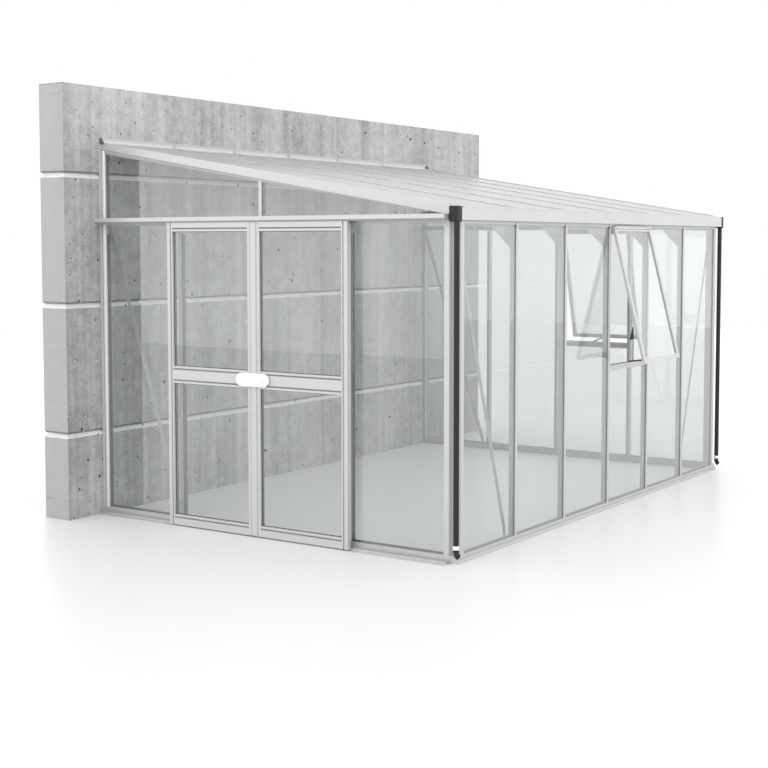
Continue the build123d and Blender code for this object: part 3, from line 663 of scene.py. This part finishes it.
# gaskets on both sides of every bar of the eaves side
gasketLook = {"aside": 0.0145, "behindFace": 0.007, "top": 2.198}
gasketY = eavesY + gasketLook["behindFace"]
gasketLines = []
for index in range(1, house["bayCount"]):
    for side in (-gasketLook["aside"], gasketLook["aside"]):
        x = barX(index) + side
        gasketLines.append([(x, gasketY, sillTop), (x, gasketY, gasketLook["top"])])
strips("eavesGaskets", gasketLines, greySeal, "frame")
print("gaskets done")


# gives a built mesh its object, finish, body and slot
def dress(name, mesh, material, body):
    piece = meshOf(name, [])
    mesh.to_mesh(piece.data)
    mesh.free()
    piece.data.materials.append(material)
    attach(piece, body)


# pieces with a drawn outline, each pushed along a line
def prisms(name, shapes, material, body, edge=0.0):
    mesh = bmesh.new()
    for outline, push in shapes:
        low = [mesh.verts.new(point) for point in outline]
        high = [mesh.verts.new(Vector(point) + Vector(push)) for point in outline]
        mesh.faces.new(low)
        mesh.faces.new(high[::-1])
        for index in range(len(low)):
            after = (index + 1) % len(low)
            mesh.faces.new((low[index], high[index], high[after], low[after]))
    bmesh.ops.recalc_face_normals(mesh, faces=mesh.faces[:])
    if edge:
        bmesh.ops.bevel(mesh, geom=mesh.edges[:], offset=edge, segments=1, affect="EDGES")
    dress(name, mesh, material, body)


# an outline seen from above, as x and y, between two heights
def plan(outline, low, high):
    return [(x, y, low) for x, y in outline], (0.0, 0.0, high - low)


# an outline seen from the door, as y and z, between two places along the wall
def section(outline, start, end):
    return [(start, y, z) for y, z in outline], (end - start, 0.0, 0.0)


# an upright block between two corners
def box(low, high):
    outline = [(low[0], low[1]), (high[0], low[1]), (high[0], high[1]), (low[0], high[1])]
    return plan(outline, low[2], high[2])


# round pieces turned about a line, from pairs of radius and height
def turned(name, places, profile, material, body, sides=16):
    mesh = bmesh.new()
    for middle, axis in places:
        turn = Vector(axis).to_track_quat("Z", "Y").to_matrix()
        rings = []
        for radius, height in profile:
            ring = []
            for step in range(sides):
                angle = 2 * math.pi * step / sides
                local = Vector((radius * math.cos(angle), radius * math.sin(angle), height))
                ring.append(mesh.verts.new(Vector(middle) + turn @ local))
            rings.append(ring)
        mesh.faces.new(rings[0][::-1])
        mesh.faces.new(rings[-1])
        for lower, upper in zip(rings, rings[1:]):
            for step in range(sides):
                after = (step + 1) % sides
                mesh.faces.new((lower[step], lower[after], upper[after], upper[step]))
    bmesh.ops.recalc_face_normals(mesh, faces=mesh.faces[:])
    dress(name, mesh, material, body)


# strips beside the wall posts, and snap-on covers over the posts with a gap at the head track
wallTrim = {
    "flange": 0.030,
    "thickness": 0.003,
    "lip": 0.008,
    "coverFrom": 0.004,
    "coverTo": 0.030,
    "crown": 0.005,
    "slope": 0.004,
    "trackFoot": 2.195,
    "trackHead": 2.235,
    "overPost": 0.012,
}
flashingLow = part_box("flashing")[0]
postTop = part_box("near_wall_post")[1].z
trimShapes, coverShapes = [], []
for x, out in ((nearX, -1), (farX, 1)):
    outer = x + out * wallTrim["flange"]
    inner = outer - out * wallTrim["thickness"]
    sheet = wallY - wallTrim["thickness"]
    lip = wallY - wallTrim["lip"]
    strip = [(x, wallY), (outer, wallY), (outer, lip), (inner, lip), (inner, sheet), (x, sheet)]
    trimShapes.append(plan(strip, 0.0, flashingLow.z))
    start, end = wallY - wallTrim["coverFrom"], wallY - wallTrim["coverTo"]
    crown = x + out * wallTrim["crown"]
    cover = [(x, start), (crown, start - wallTrim["slope"]), (crown, end + wallTrim["slope"]), (x, end)]
    coverShapes.append(plan(cover, sillTop, wallTrim["trackFoot"]))
    coverShapes.append(plan(cover, wallTrim["trackHead"], postTop + wallTrim["overPost"]))
prisms("wallStrips", trimShapes, finishes["frame_aluminium"], "frame")
prisms("wallCovers", coverShapes, postCover, "frame")

# flashing: a seal under the front edge, joint covers at the bars, end caps and a sealant bead on the concrete
flashingLook = {
    "inset": 0.013,
    "sealFront": 0.001,
    "sealBack": 0.012,
    "sealHeights": (0.0045, 0.0118),
    "underside": 0.012,
    "sheet": 0.003,
    "coverWidth": 0.034,
    "coverSheet": 0.0015,
    "leg": 0.0345,
    "capWidth": 0.018,
    "capDepth": 0.028,
    "capHeights": (0.004, 0.020),
    "capTop": 0.035,
    "capLip": 0.006,
    "bead": 0.006,
    "beadEnd": 0.01,
    # height over the foot of the leg, and share of the bead's depth
    "beadOutline": ((0.031, 0.0), (0.033, 1.0), (0.037, 0.6), (0.041, 0.0)),
}
roofBase = aluminiumLook["roofBase"]


def roofZ(y):
    return roofBase + roofSlope * (y - eavesY)


front = flashingLow.y + flashingLook["sealFront"]
back = flashingLow.y + flashingLook["sealBack"]
under = roofZ(flashingLow.y)
sealFoot, sealHead = flashingLook["sealHeights"]
prisms("flashingSeal", [section(
    [(front, under + sealFoot), (back, roofZ(back) + sealFoot),
     (back, roofZ(back) + sealHead), (front, under + sealHead)],
    nearX + flashingLook["inset"], farX - flashingLook["inset"],
)], paleSeal, "frame")

# each cover follows the sheet up the roof and up the wall
wallTop = roofZ(wallY) + flashingLook["underside"]
front, foot = flashingLow.y, under + flashingLook["underside"]
sheet, leg = flashingLook["sheet"], wallTop + flashingLook["leg"]
outside = sheet + flashingLook["coverSheet"]
coverOutline = [
    (front - flashingLook["coverSheet"], foot),
    (front - flashingLook["coverSheet"], foot + outside),
    (wallY - outside, wallTop + outside),
    (wallY - outside, leg),
    (wallY - sheet, leg),
    (wallY - sheet, wallTop + sheet),
    (front, foot + sheet),
    (front, foot),
]
jointShapes = []
for index in range(1, house["bayCount"]):
    x = barX(index) - flashingLook["coverWidth"] / 2
    jointShapes.append(section(coverOutline, x, x + flashingLook["coverWidth"]))
prisms("flashingJoints", jointShapes, jointCover, "frame")

capFront = wallY - flashingLook["capDepth"]
capFoot, capHead = flashingLook["capHeights"]
capTop = wallTop + flashingLook["capTop"]
capOutline = [
    (capFront, roofZ(capFront) + capFoot),
    (wallY, wallTop - capFoot),
    (wallY, capTop),
    (wallY - flashingLook["capLip"], capTop),
    (capFront, roofZ(capFront) + capHead),
]
endShapes = [
    section(capOutline, nearX, nearX - flashingLook["capWidth"]),
    section(capOutline, farX, farX + flashingLook["capWidth"]),
]
prisms("flashingEnds", endShapes, rubber, "frame", edge=0.001)
prisms("wallSealant", [section(
    [(wallY - share * flashingLook["bead"], wallTop + rise) for rise, share in flashingLook["beadOutline"]],
    nearX - flashingLook["beadEnd"], farX + flashingLook["beadEnd"],
)], paleSeal, "frame")
print("wall trim done")

# door leaves: seals in the grooves of the rails and stiles, gaskets behind the panes, brushes on the back
leafLook = {
    "fromGable": 0.062,
    "halfDepth": 0.016,
    "stile": 0.05,
    "base": 0.010,
    "top": 2.200,
    "panes": ((0.086, 1.046), (1.168, 2.136)),
    "railGroove": 0.0205,
    "stileGroove": 0.0155,
    "grooveFloor": 0.007,
    "seal": 0.0105,
    "sealDepth": 0.002,
    "clear": 0.001,
    "paneBack": 0.002,
    "gasket": 0.005,
    "brush": 0.006,
    "brushReach": 0.011,
    "brushHeights": (0.030, 2.185),
    "meetingSeal": (0.0245, 0.0335),
    "meetingDepth": 0.0008,
}
leafMid = nearX - leafLook["fromGable"]
leafBack = leafMid + leafLook["halfDepth"]
grooveFloor, sealDepth = leafLook["grooveFloor"], leafLook["sealDepth"]
frontGroove = (leafMid - grooveFloor - sealDepth, leafMid - grooveFloor)
backGroove = (leafMid + grooveFloor, leafMid + grooveFloor + sealDepth)
foot, head = leafLook["base"] + leafLook["clear"], leafLook["top"] - leafLook["clear"]
doorMid = (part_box("wall_leaf_stiles")[0].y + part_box("corner_leaf_stiles")[1].y) / 2
for leafName, side in (("wall_leaf", 1), ("corner_leaf", -1)):
    low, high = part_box(leafName + "_stiles")
    left, right = low.y + leafLook["stile"], high.y - leafLook["stile"]
    half = leafLook["seal"] / 2
    gasket, brush = leafLook["gasket"], leafLook["brush"]
    railSeals, stileSeals, gaskets, brushes = [], [], [], []
    behind = leafMid + leafLook["paneBack"]
    for bottom, top in leafLook["panes"]:
        for z in (bottom - leafLook["railGroove"], top + leafLook["railGroove"]):
            for x0, x1 in (frontGroove, backGroove):
                railSeals.append(box((x0, left, z - half), (x1, right, z + half)))
        for y0, y1, z0, z1 in (
            (left, right, bottom, bottom + gasket),
            (left, right, top - gasket, top),
            (left, left + gasket, bottom + gasket, top - gasket),
            (right - gasket, right, bottom + gasket, top - gasket),
        ):
            gaskets.append(box((behind, y0, z0), (behind + gasket, y1, z1)))
    # the leaves meet on this side of each
    edges = (left - leafLook["stileGroove"], right + leafLook["stileGroove"])
    meetGroove, outerGroove = edges if side > 0 else edges[::-1]
    for (x0, x1), y in ((backGroove, outerGroove), (backGroove, meetGroove), (frontGroove, outerGroove)):
        stileSeals.append(box((x0, y - half, foot), (x1, y + half, head)))
    brushLow, brushHigh = leafLook["brushHeights"]
    brushBack = leafBack + leafLook["brushReach"]
    for y in (left - brush, right):
        brushes.append(box((leafBack, y, brushLow), (brushBack, y + brush, brushHigh)))
    prisms(leafName + "RailSeals", railSeals, greySeal, leafName)
    prisms(leafName + "StileSeals", stileSeals, paleSeal, leafName)
    prisms(leafName + "Gaskets", gaskets, rubber, leafName)
    prisms(leafName + "Brushes", brushes, brushHair, leafName)
    # a filler in the groove of the meeting stile, flush with its face
    prisms(leafName + "Filler", [
        box((leafFront, meetGroove - half, foot), (frontGroove[1], meetGroove + half, head)),
    ], finishes["frame_aluminium"], leafName)
    near, far = sorted(doorMid + side * away for away in leafLook["meetingSeal"])
    prisms(leafName + "MeetingSeal", [box(
        (leafFront - leafLook["meetingDepth"], near, foot + leafLook["clear"]),
        (leafFront, far, head - leafLook["clear"]),
    )], paleSeal, leafName)

# the cover over the joint of the leaves is fixed to the corner leaf and lies 1 mm clear of the other
coverLook = {
    "half": 0.0225,
    "thick": 0.004,
    "gap": 0.001,
    "round": 0.002,
    "lap": 0.004,
    "heights": (0.014, 2.196),
}
outer = leafFront - coverLook["thick"]
shoulder = outer + coverLook["round"]
left, right = doorMid - coverLook["half"], doorMid + coverLook["half"]
prisms("meetingCover", [plan([
    (leafFront, left),
    (shoulder, left),
    (outer, left + coverLook["round"]),
    (outer, right - coverLook["round"]),
    (shoulder, right),
    (leafFront - coverLook["gap"], right),
    (leafFront - coverLook["gap"], doorMid - coverLook["lap"]),
    (leafFront, doorMid - coverLook["lap"]),
], *coverLook["heights"])], finishes["frame_aluminium"], "corner_leaf")

# handle: a lock barrel with its ring and key slot
lock = {
    "across": 0.103,
    "below": 0.010,
    "ring": [(0.0125, -0.001), (0.0125, 0.0002), (0.0115, 0.0006), (0.0105, 0.0006), (0.0105, -0.0005)],
    "barrel": [(0.0105, -0.001), (0.0105, 0.0004), (0.0085, 0.0006), (0.0077, 0.0018)],
    "slotFace": (-0.0024, -0.0016),
    "slotHalfWidth": 0.0009,
    "slotHalfHeight": 0.0055,
}
handleLow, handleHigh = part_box("door_handle")
lockX, lockY = handleLow.x, doorMid - lock["across"]
lockZ = (handleLow.z + handleHigh.z) / 2 - lock["below"]
lockPlace = [((lockX, lockY, lockZ), towardDoor)]
turned("lockRing", lockPlace, lock["ring"], greySeal, "corner_leaf", 24)
turned("lockBarrel", lockPlace, lock["barrel"], finishes["white_plastic"], "corner_leaf", 20)
slotFront, slotBack = lock["slotFace"]
prisms("keySlot", [box(
    (lockX + slotFront, lockY - lock["slotHalfWidth"], lockZ - lock["slotHalfHeight"]),
    (lockX + slotBack, lockY + lock["slotHalfWidth"], lockZ + lock["slotHalfHeight"]),
)], rubber, "corner_leaf")
print("leaf details done")

# head track: a brush that closes the gap above the leaves, and a plate on each end
trackLook = {
    "brushFace": (0.0008, 0.0042),
    "brushDrop": 0.011,
    "brushEnd": 0.002,
    "nearPlate": 0.002,
    "wallPlate": 0.0005,
    "plateDrop": 0.009,
    "plateGap": 0.001,
}
trackLow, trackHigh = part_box("door_head_track")
brushFront, brushBack = trackLook["brushFace"]
prisms("trackBrush", [box(
    (trackLow.x + brushFront, trackLow.y + trackLook["brushEnd"], trackLow.z - trackLook["brushDrop"]),
    (trackLow.x + brushBack, trackHigh.y - trackLook["brushEnd"], trackLow.z),
)], greySeal, "frame")
plates = []
for start, end in (
    (trackLow.y - trackLook["nearPlate"], trackLow.y),
    (trackHigh.y, trackHigh.y + trackLook["wallPlate"]),
):
    plates.append(box(
        (trackLow.x, start, trackLow.z - trackLook["plateDrop"]),
        (nearX - trackLook["plateGap"], end, trackHigh.z),
    ))
prisms("trackEnds", plates, finishes["frame_aluminium"], "frame")
print("track details done")


# ends of a bay of the eaves side, clear of the corner legs and of the bars
def bayEnds(bay, cornerLeg, barHalf):
    left = nearX + cornerLeg if bay == 1 else barX(bay - 1) + barHalf
    right = farX - cornerLeg if bay == house["bayCount"] else barX(bay) - barHalf
    return left, right


# under the gutter: a cover on the beam between the caps, with three lines, and a dark strip of painted shade
# at the head of every bar
beamLook = {
    "heights": (2.1745, 2.1995),
    "depths": (0.001, 0.0065),
    "line": 0.0022,
    "lineDepth": 0.0005,
    "lineHeights": (2.195, 2.187, 2.1765),
    "capHalf": 0.0137,
    "cornerLeg": 0.0935,
    "openBay": 4,
    "endWidth": 0.006,
    "endDepth": 0.0002,
    "endDrop": 0.012,
}
coverBoxes, lineBoxes, barShadeBoxes = [], [], []
foot, head = beamLook["heights"]
front, back = eavesY + beamLook["depths"][0], eavesY + beamLook["depths"][1]
for bay in range(1, house["bayCount"] + 1):
    left, right = bayEnds(bay, beamLook["cornerLeg"], beamLook["capHalf"])
    if bay != beamLook["openBay"]:
        coverBoxes.append(box((left, front, foot), (right, back, head)))
        for z in beamLook["lineHeights"]:
            z0, z1 = z - beamLook["line"] / 2, z + beamLook["line"] / 2
            lineBoxes.append(box((left, front - beamLook["lineDepth"], z0), (right, front, z1)))
    # painted shade: a dark strip beside the head of each bar
    if bay < house["bayCount"]:
        barShadeBoxes.append(box(
            (right - beamLook["endWidth"], eavesY + beamLook["endDepth"], foot - beamLook["endDrop"]),
            (right, front, head),
        ))
prisms("beamCovers", coverBoxes, finishes["frame_aluminium"], "frame")
prisms("beamLines", lineBoxes, paleSeal, "frame")
prisms("barHeadShades", barShadeBoxes, rubber, "frame")

# roof: a pale drip edge on the panes, with a fold down to the gutter
dripLook = {
    "inset": 0.026,
    "front": 0.0015,
    "under": 0.0004,
    "gutterGap": 0.0002,
    "fold": 0.008,
    "lap": 0.008,
    "lapHeights": (0.0058, 0.0068),
    "paneTop": 0.0045,
    "crown": 0.0055,
}
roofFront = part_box("roof_glass")[0].y
edgeZ = roofZ(roofFront)
dripFront, dripLap = roofFront - dripLook["front"], roofFront + dripLook["lap"]
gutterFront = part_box("gutter")[0].y - dripLook["gutterGap"]
lapFoot, lapHead = dripLook["lapHeights"]
prisms("dripEdge", [section([
    (dripFront, edgeZ - dripLook["under"]),
    (gutterFront, edgeZ - dripLook["fold"]),
    (gutterFront, edgeZ - dripLook["under"]),
    (roofFront, edgeZ - dripLook["under"]),
    (roofFront, edgeZ + dripLook["paneTop"]),
    (dripLap, edgeZ + lapFoot),
    (dripLap, edgeZ + lapHead),
    (dripFront, edgeZ + dripLook["crown"]),
], nearX + dripLook["inset"], farX - dripLook["inset"])], finishes["gutter_white"], "frame")

# painted shade: a dark piece, in the rubber finish, filling the wedge between the near verge and the head
# track
wedgeShadeLook = {
    "height": 0.016,
    "overTrack": 0.004,
    "fromEnd": 0.06,
    "thin": 0.001,
    "tail": 0.07,
    "tailHeight": 0.003,
    "depths": (0.002, 0.0065),
}
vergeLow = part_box("near_verge")[0]
vergeDrop = vergeLow.z - roofZ(vergeLow.y)
foot = trackHigh.z + wedgeShadeLook["overTrack"]
head = foot + wedgeShadeLook["height"]


def underVerge(z):
    return eavesY + (z - vergeDrop - roofBase) / roofSlope


narrow = max(vergeLow.y + wedgeShadeLook["fromEnd"], underVerge(foot + wedgeShadeLook["thin"]))
tail = underVerge(head) + wedgeShadeLook["tail"]
prisms("vergeWedgeShade", [section([
    (narrow, foot),
    (narrow, roofZ(narrow) + vergeDrop),
    (underVerge(head), head),
    (tail, foot + wedgeShadeLook["tailHeight"]),
    (tail, foot),
], *[nearX + depth for depth in wedgeShadeLook["depths"]])], rubber, "frame")

# verges: a dark line and, under it, a lip of painted shade on the face, that run out towards the eaves, and a
# lip of painted shade underneath
vergeLook = {
    "line": 0.0055,
    "thin": 0.0012,
    "wallStep": 0.017,
    "skin": 0.001,
    "sunk": 0.0004,
    "ends": (0.003, 0.004),
    "lip": 0.008,
    "lipStart": 1.0,
    "lipEnd": 0.045,
    "underDepths": (0.002, 0.0065),
}
vergeJoints, vergeShadeLips = [], []
for nodeName, side, out in (("near_verge", nearX, 1), ("far_verge", farX, -1)):
    low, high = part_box(nodeName)
    drop = low.z - roofZ(low.y)
    edge = low.x if out > 0 else high.x
    face = (edge - out * vergeLook["skin"], edge + out * vergeLook["sunk"])
    under = [side + out * depth for depth in vergeLook["underDepths"]]
    first, last = low.y + vergeLook["ends"][0], wallY - vergeLook["ends"][1]
    start, end = low.y + vergeLook["lipStart"], wallY - vergeLook["lipEnd"]
    thin, step, lip = vergeLook["thin"], vergeLook["wallStep"], vergeLook["lip"]
    # each band has a place, an upper and a lower edge at both ends
    for shapes, (x0, x1), (y0, top0, foot0), (y1, top1, foot1) in (
        (vergeJoints, face, (first, thin * 2, thin), (last, step + vergeLook["line"], step)),
        (vergeShadeLips, face, (first, thin, 0.0), (last, step, 0.0)),
        (vergeShadeLips, under, (start, 0.0, -lip), (end, 0.0, -lip)),
    ):
        z0, z1 = roofZ(y0) + drop, roofZ(y1) + drop
        outline = [(y0, z0 + top0), (y1, z1 + top1), (y1, z1 + foot1), (y0, z0 + foot0)]
        shapes.append(section(outline, x0, x1))
prisms("vergeJoints", vergeJoints, greySeal, "frame")
# the lips are painted shade
prisms("vergeShadeLips", vergeShadeLips, lipShade, "frame")
print("gutter and verge details done")

# sills: beads behind the panes, a seal on their foot outside, and a step line on the front
sillLook = {
    "bead": 0.016,
    "beadDepth": 0.012,
    "paneBack": 0.0125,
    "barHalf": 0.0075,
    "beadLeg": 0.081,
    "sealLeg": 0.094,
    "wallGap": 0.031,
    "seal": 0.004,
    "sealDepths": (0.003, 0.0078),
    "sealEnd": 0.006,
    "line": 0.0025,
    "lineAt": 0.026,
    "lineDepth": 0.0006,
    "lineEnd": 0.02,
    "lineGap": 0.002,
}
sillBeads, sillSeals, sillLines = [], [], []
beadNear, beadFar = sillLook["paneBack"], sillLook["paneBack"] + sillLook["beadDepth"]
beadTop, sealTop = sillTop + sillLook["bead"], sillTop + sillLook["seal"]
sealFront, sealBack = sillLook["sealDepths"]
for bay in range(1, house["bayCount"] + 1):
    left, right = bayEnds(bay, sillLook["beadLeg"], sillLook["barHalf"])
    sillBeads.append(box((left, eavesY + beadNear, sillTop), (right, eavesY + beadFar, beadTop)))
    left, right = bayEnds(bay, sillLook["sealLeg"], beamLook["capHalf"])
    sillSeals.append(box((left, eavesY + sealFront, sillTop), (right, eavesY + sealBack, sealTop)))

# both outer bays of the gables, and the far gable's two middle ones
barHalf = sillLook["barHalf"]
outerBays = [
    (eavesY + sillLook["sealLeg"], gableY(1) - barHalf),
    (gableY(3) + barHalf, wallY - sillLook["wallGap"]),
]
middleBays = [(gableY(index) + barHalf, gableY(index + 1) - barHalf) for index in (1, 2)]
for start, end in middleBays + outerBays:
    sillBeads.append(box((farX - beadFar, start, sillTop), (farX - beadNear, end, beadTop)))
for start, end in outerBays:
    sillBeads.append(box((nearX + beadNear, start, sillTop), (nearX + beadFar, end, beadTop)))
    sillSeals.append(box(
        (nearX + sealFront, start + sillLook["sealEnd"], sillTop),
        (nearX + sealBack, end - sillLook["sealEnd"], sealTop),
    ))
lineFoot = sillLook["lineAt"] - sillLook["line"] / 2
lineHead = sillLook["lineAt"] + sillLook["line"] / 2
depth, inset = sillLook["lineDepth"], sillLook["lineEnd"]
sillLines.append(box((nearX + inset, eavesY - depth, lineFoot), (farX - inset, eavesY, lineHead)))
sillLines.append(box((farX, eavesY + inset, lineFoot), (farX + depth, wallY - sillLook["lineGap"], lineHead)))
prisms("sillBeads", sillBeads, finishes["frame_aluminium"], "frame")
prisms("sillSeals", sillSeals, paleSeal, "frame")
prisms("sillLines", sillLines, greySeal, "frame")

# floor track: dark channels between its ribs, and countersunk screws in the base
ribs = {"mids": (0.002, 0.020, 0.038), "half": 0.002, "base": 0.004, "channel": 0.001, "end": 0.001}
floorLow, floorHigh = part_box("door_floor_track")
channels = []
for first, second in zip(ribs["mids"], ribs["mids"][1:]):
    channels.append(box(
        (nearX - second + ribs["half"], floorLow.y + ribs["end"], ribs["base"]),
        (nearX - first - ribs["half"], floorHigh.y - ribs["end"], ribs["base"] + ribs["channel"]),
    ))
prisms("trackChannels", channels, brushHair, "frame")
trackScrewLook = {"count": 9, "first": 0.12, "pitch": 0.35, "fromGable": 0.079}
trackScrewSizes = {"headRadius": 0.0026, "headHeight": 0.0012, "sides": 10}
trackScrewPlaces = []
for step in range(trackScrewLook["count"]):
    y = floorLow.y + trackScrewLook["first"] + step * trackScrewLook["pitch"]
    trackScrewPlaces.append(((nearX - trackScrewLook["fromGable"], y, ribs["base"]), upward))
screwRows("floorTrackScrews", trackScrewPlaces, "frame", trackScrewSizes)

# bolts: two through every gusset, one peg on the bar under it, and one at each end of the wind braces
boltLook = {
    "profile": [(0.0065, -0.0005), (0.0065, 0.003), (0.0055, 0.0042)],
    "gussetSide": 0.016,
    "gussetBolts": ((0.075, 2.125), (0.20, 2.24)),
    "pegSide": 0.007,
    "peg": (0.04, 1.965),
    "braceFace": 0.056,
    # distance from the gable and height of the eaves braces' bolts
    "eavesBrace": ((0.105, 2.135), (0.715, 0.075)),
    "gableBraceHead": (0.035, 2.205),
    "gableBraceFoot": (0.062, 0.075),
}
boltPlaces = []
for index in range(1, house["bayCount"]):
    for back, height in boltLook["gussetBolts"]:
        boltPlaces.append(((barX(index) - boltLook["gussetSide"], eavesY + back, height), towardDoor))
    back, height = boltLook["peg"]
    boltPlaces.append(((barX(index) - boltLook["pegSide"], eavesY + back, height), towardDoor))
for along, height in boltLook["eavesBrace"]:
    for x in (nearX + along, farX - along):
        boltPlaces.append(((x, eavesY + boltLook["braceFace"], height), towardWall))
fromWall, headHeight = boltLook["gableBraceHead"]
fromBar, footHeight = boltLook["gableBraceFoot"]
for x, direction in ((nearX + boltLook["braceFace"], towardFar), (farX - boltLook["braceFace"], towardDoor)):
    boltPlaces.append(((x, wallY - fromWall, headHeight), direction))
    boltPlaces.append(((x, gableY(3) + fromBar, footHeight), direction))
turned("frameBolts", boltPlaces, boltLook["profile"], screwSteel, "frame", 6)

# vents: seals on the fixed transoms, a hinge seam along the head and corner keys at the joints of the frame
ventLook = {
    "angle": 14.3,
    "frame": 0.036,
    "seam": 0.017,
    "seamHigh": 0.0035,
    "seamEnd": 0.002,
    "seamProud": 0.0006,
    "key": 0.0016,
    "keyProud": 0.0004,
    "seal": 0.005,
    "sealDepths": (0.001, 0.0075),
    "sealEnd": 0.014,
    "flat": 0.0005,
}
ventTilt = math.radians(ventLook["angle"])
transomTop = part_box("vent_transoms")[1].z
sealTop = transomTop + ventLook["seal"]
sealFront, sealBack = ventLook["sealDepths"]
sealEnd = ventLook["sealEnd"]
ventSeals = [
    box((barX(3) + sealEnd, eavesY + sealFront, transomTop), (barX(4) - sealEnd, eavesY + sealBack, sealTop)),
    box((farX - sealBack, gableY(1) + sealEnd, transomTop), (farX - sealFront, gableY(2) - sealEnd, sealTop)),
]
ventSeams, ventKeys = [], []
cosTilt, sinTilt = math.cos(ventTilt), math.sin(ventTilt)
# each vent has the way along its head, the way its outer face looks, and the way down its face
for name, across, out, down in (
    ("eaves_vent", (1.0, 0.0, 0.0), (0.0, -cosTilt, sinTilt), (0.0, -sinTilt, -cosTilt)),
    ("far_vent", (0.0, 1.0, 0.0), (cosTilt, 0.0, sinTilt), (sinTilt, 0.0, -cosTilt)),
):
    across, out, down = Vector(across), Vector(out), Vector(down)
    low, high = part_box(name + "_stiles")
    length = (high - low).dot(across)
    # the face and its top edge are found from the mesh of the stiles
    stiles = frame["nodes"][name + "_stiles"]
    points = [stiles.matrix_world @ vertex.co for vertex in stiles.data.vertices]
    outerReach = max(point.dot(out) for point in points)
    face = [point for point in points if outerReach - point.dot(out) < ventLook["flat"]]
    topEdge = max(face, key=lambda point: -point.dot(down))
    depth = max(point.dot(down) for point in face) - topEdge.dot(down)
    origin = topEdge - across * (topEdge.dot(across)) + across * low.dot(across)

    def plate(start, end, top, foot, proud):
        corners = ((start, top), (end, top), (end, foot), (start, foot))
        return [origin + across * along + down * below for along, below in corners], out * proud

    seam = ventLook["seam"]
    ventSeams.append(plate(
        ventLook["seamEnd"], length - ventLook["seamEnd"],
        seam, seam + ventLook["seamHigh"], ventLook["seamProud"],
    ))
    half, rail = ventLook["key"] / 2, ventLook["frame"]
    for along in (rail, length - rail):
        for top in (0.0, depth - rail):
            ventKeys.append(plate(along - half, along + half, top, top + rail, ventLook["keyProud"]))
prisms("ventSeals", ventSeals, rubber, "frame")
prisms("ventSeams", ventSeams, rubber, "frame")
prisms("ventKeys", ventKeys, greySeal, "frame")
print("sill, bolt and vent details done")

# floor, light and camera
stageLook = {
    "floorFrom": (-16.0, -19.0),
    "floorTo": (22.2, 19.0),
    "floorTone": 0.655,
    "floorRough": 0.35,
    "floorShine": 0.15,
    "backdrop": 1.0,
    "softLight": 1.6,
}
(fromX, fromY), (toX, toY) = stageLook["floorFrom"], stageLook["floorTo"]
corners = [(fromX, fromY, 0), (toX, fromY, 0), (toX, toY, 0), (fromX, toY, 0)]
floor = meshOf("studioFloor", corners, [(0, 1, 2, 3)])
floorFinish = Finish("studioFloorFinish")
floorFinish.done(floorFinish.shader(
    colour=grey(stageLook["floorTone"]),
    rough=stageLook["floorRough"],
    shine=stageLook["floorShine"],
))
floor.data.materials.append(floorFinish.material)

# the camera sees a plain white backdrop, and everything else is lit by a brighter one
world = bpy.data.worlds.new("studio")
bpy.context.scene.world = world
world.use_nodes = True
world.node_tree.nodes.clear()


def worldNode(kind, values=None):
    node = world.node_tree.nodes.new(kind)
    for name, value in (values or {}).items():
        if isinstance(value, bpy.types.NodeSocket):
            world.node_tree.links.new(value, node.inputs[name])
        else:
            node.inputs[name].default_value = value
    return node


white = (1.0, 1.0, 1.0, 1.0)
seen = worldNode("ShaderNodeBackground", {"Color": white, "Strength": stageLook["backdrop"]})
shining = worldNode("ShaderNodeBackground", {"Color": white, "Strength": stageLook["softLight"]})
rays = worldNode("ShaderNodeLightPath")
choice = worldNode("ShaderNodeMixShader", {
    0: rays.outputs["Is Camera Ray"],
    1: shining.outputs[0],
    2: seen.outputs[0],
})
worldNode("ShaderNodeOutputWorld", {"Surface": choice.outputs[0]})

# one large lamp over the door side
lamp = {"at": (-14.0, -2.0, 8.0), "towards": (0.0, 0.0, 1.2), "size": 8.0, "power": 200.0}
light = bpy.data.lights.new("doorSide", "AREA")
light.size = lamp["size"]
light.energy = lamp["power"]
holder = bpy.data.objects.new("doorSide", light)
bpy.context.scene.collection.objects.link(holder)
place = Vector(lamp["at"])
aimed = (Vector(lamp["towards"]) - place).to_track_quat("-Z", "Y")
holder.matrix_world = Matrix.Translation(place) @ aimed.to_matrix().to_4x4()

camera = {
    "at": (-10.130, -6.107, 2.0515),
    "yaw": 56.397,
    "pitch": 3.847,
    "lens": 65.23,
    "sensor": 36.0,
    "shift": (-0.0206, -0.0613),
}
cameraData = bpy.data.cameras.new("photoCamera")
cameraData.lens = camera["lens"]
cameraData.sensor_width = camera["sensor"]
cameraData.shift_x, cameraData.shift_y = camera["shift"]
photoCamera = bpy.data.objects.new("photoCamera", cameraData)
photoCamera.location = camera["at"]
photoCamera.rotation_euler = (math.radians(90 - camera["pitch"]), 0.0, math.radians(-camera["yaw"]))
bpy.context.scene.collection.objects.link(photoCamera)
bpy.context.scene.camera = photoCamera
bpy.context.scene.view_settings.view_transform = "Standard"
print("studio done")
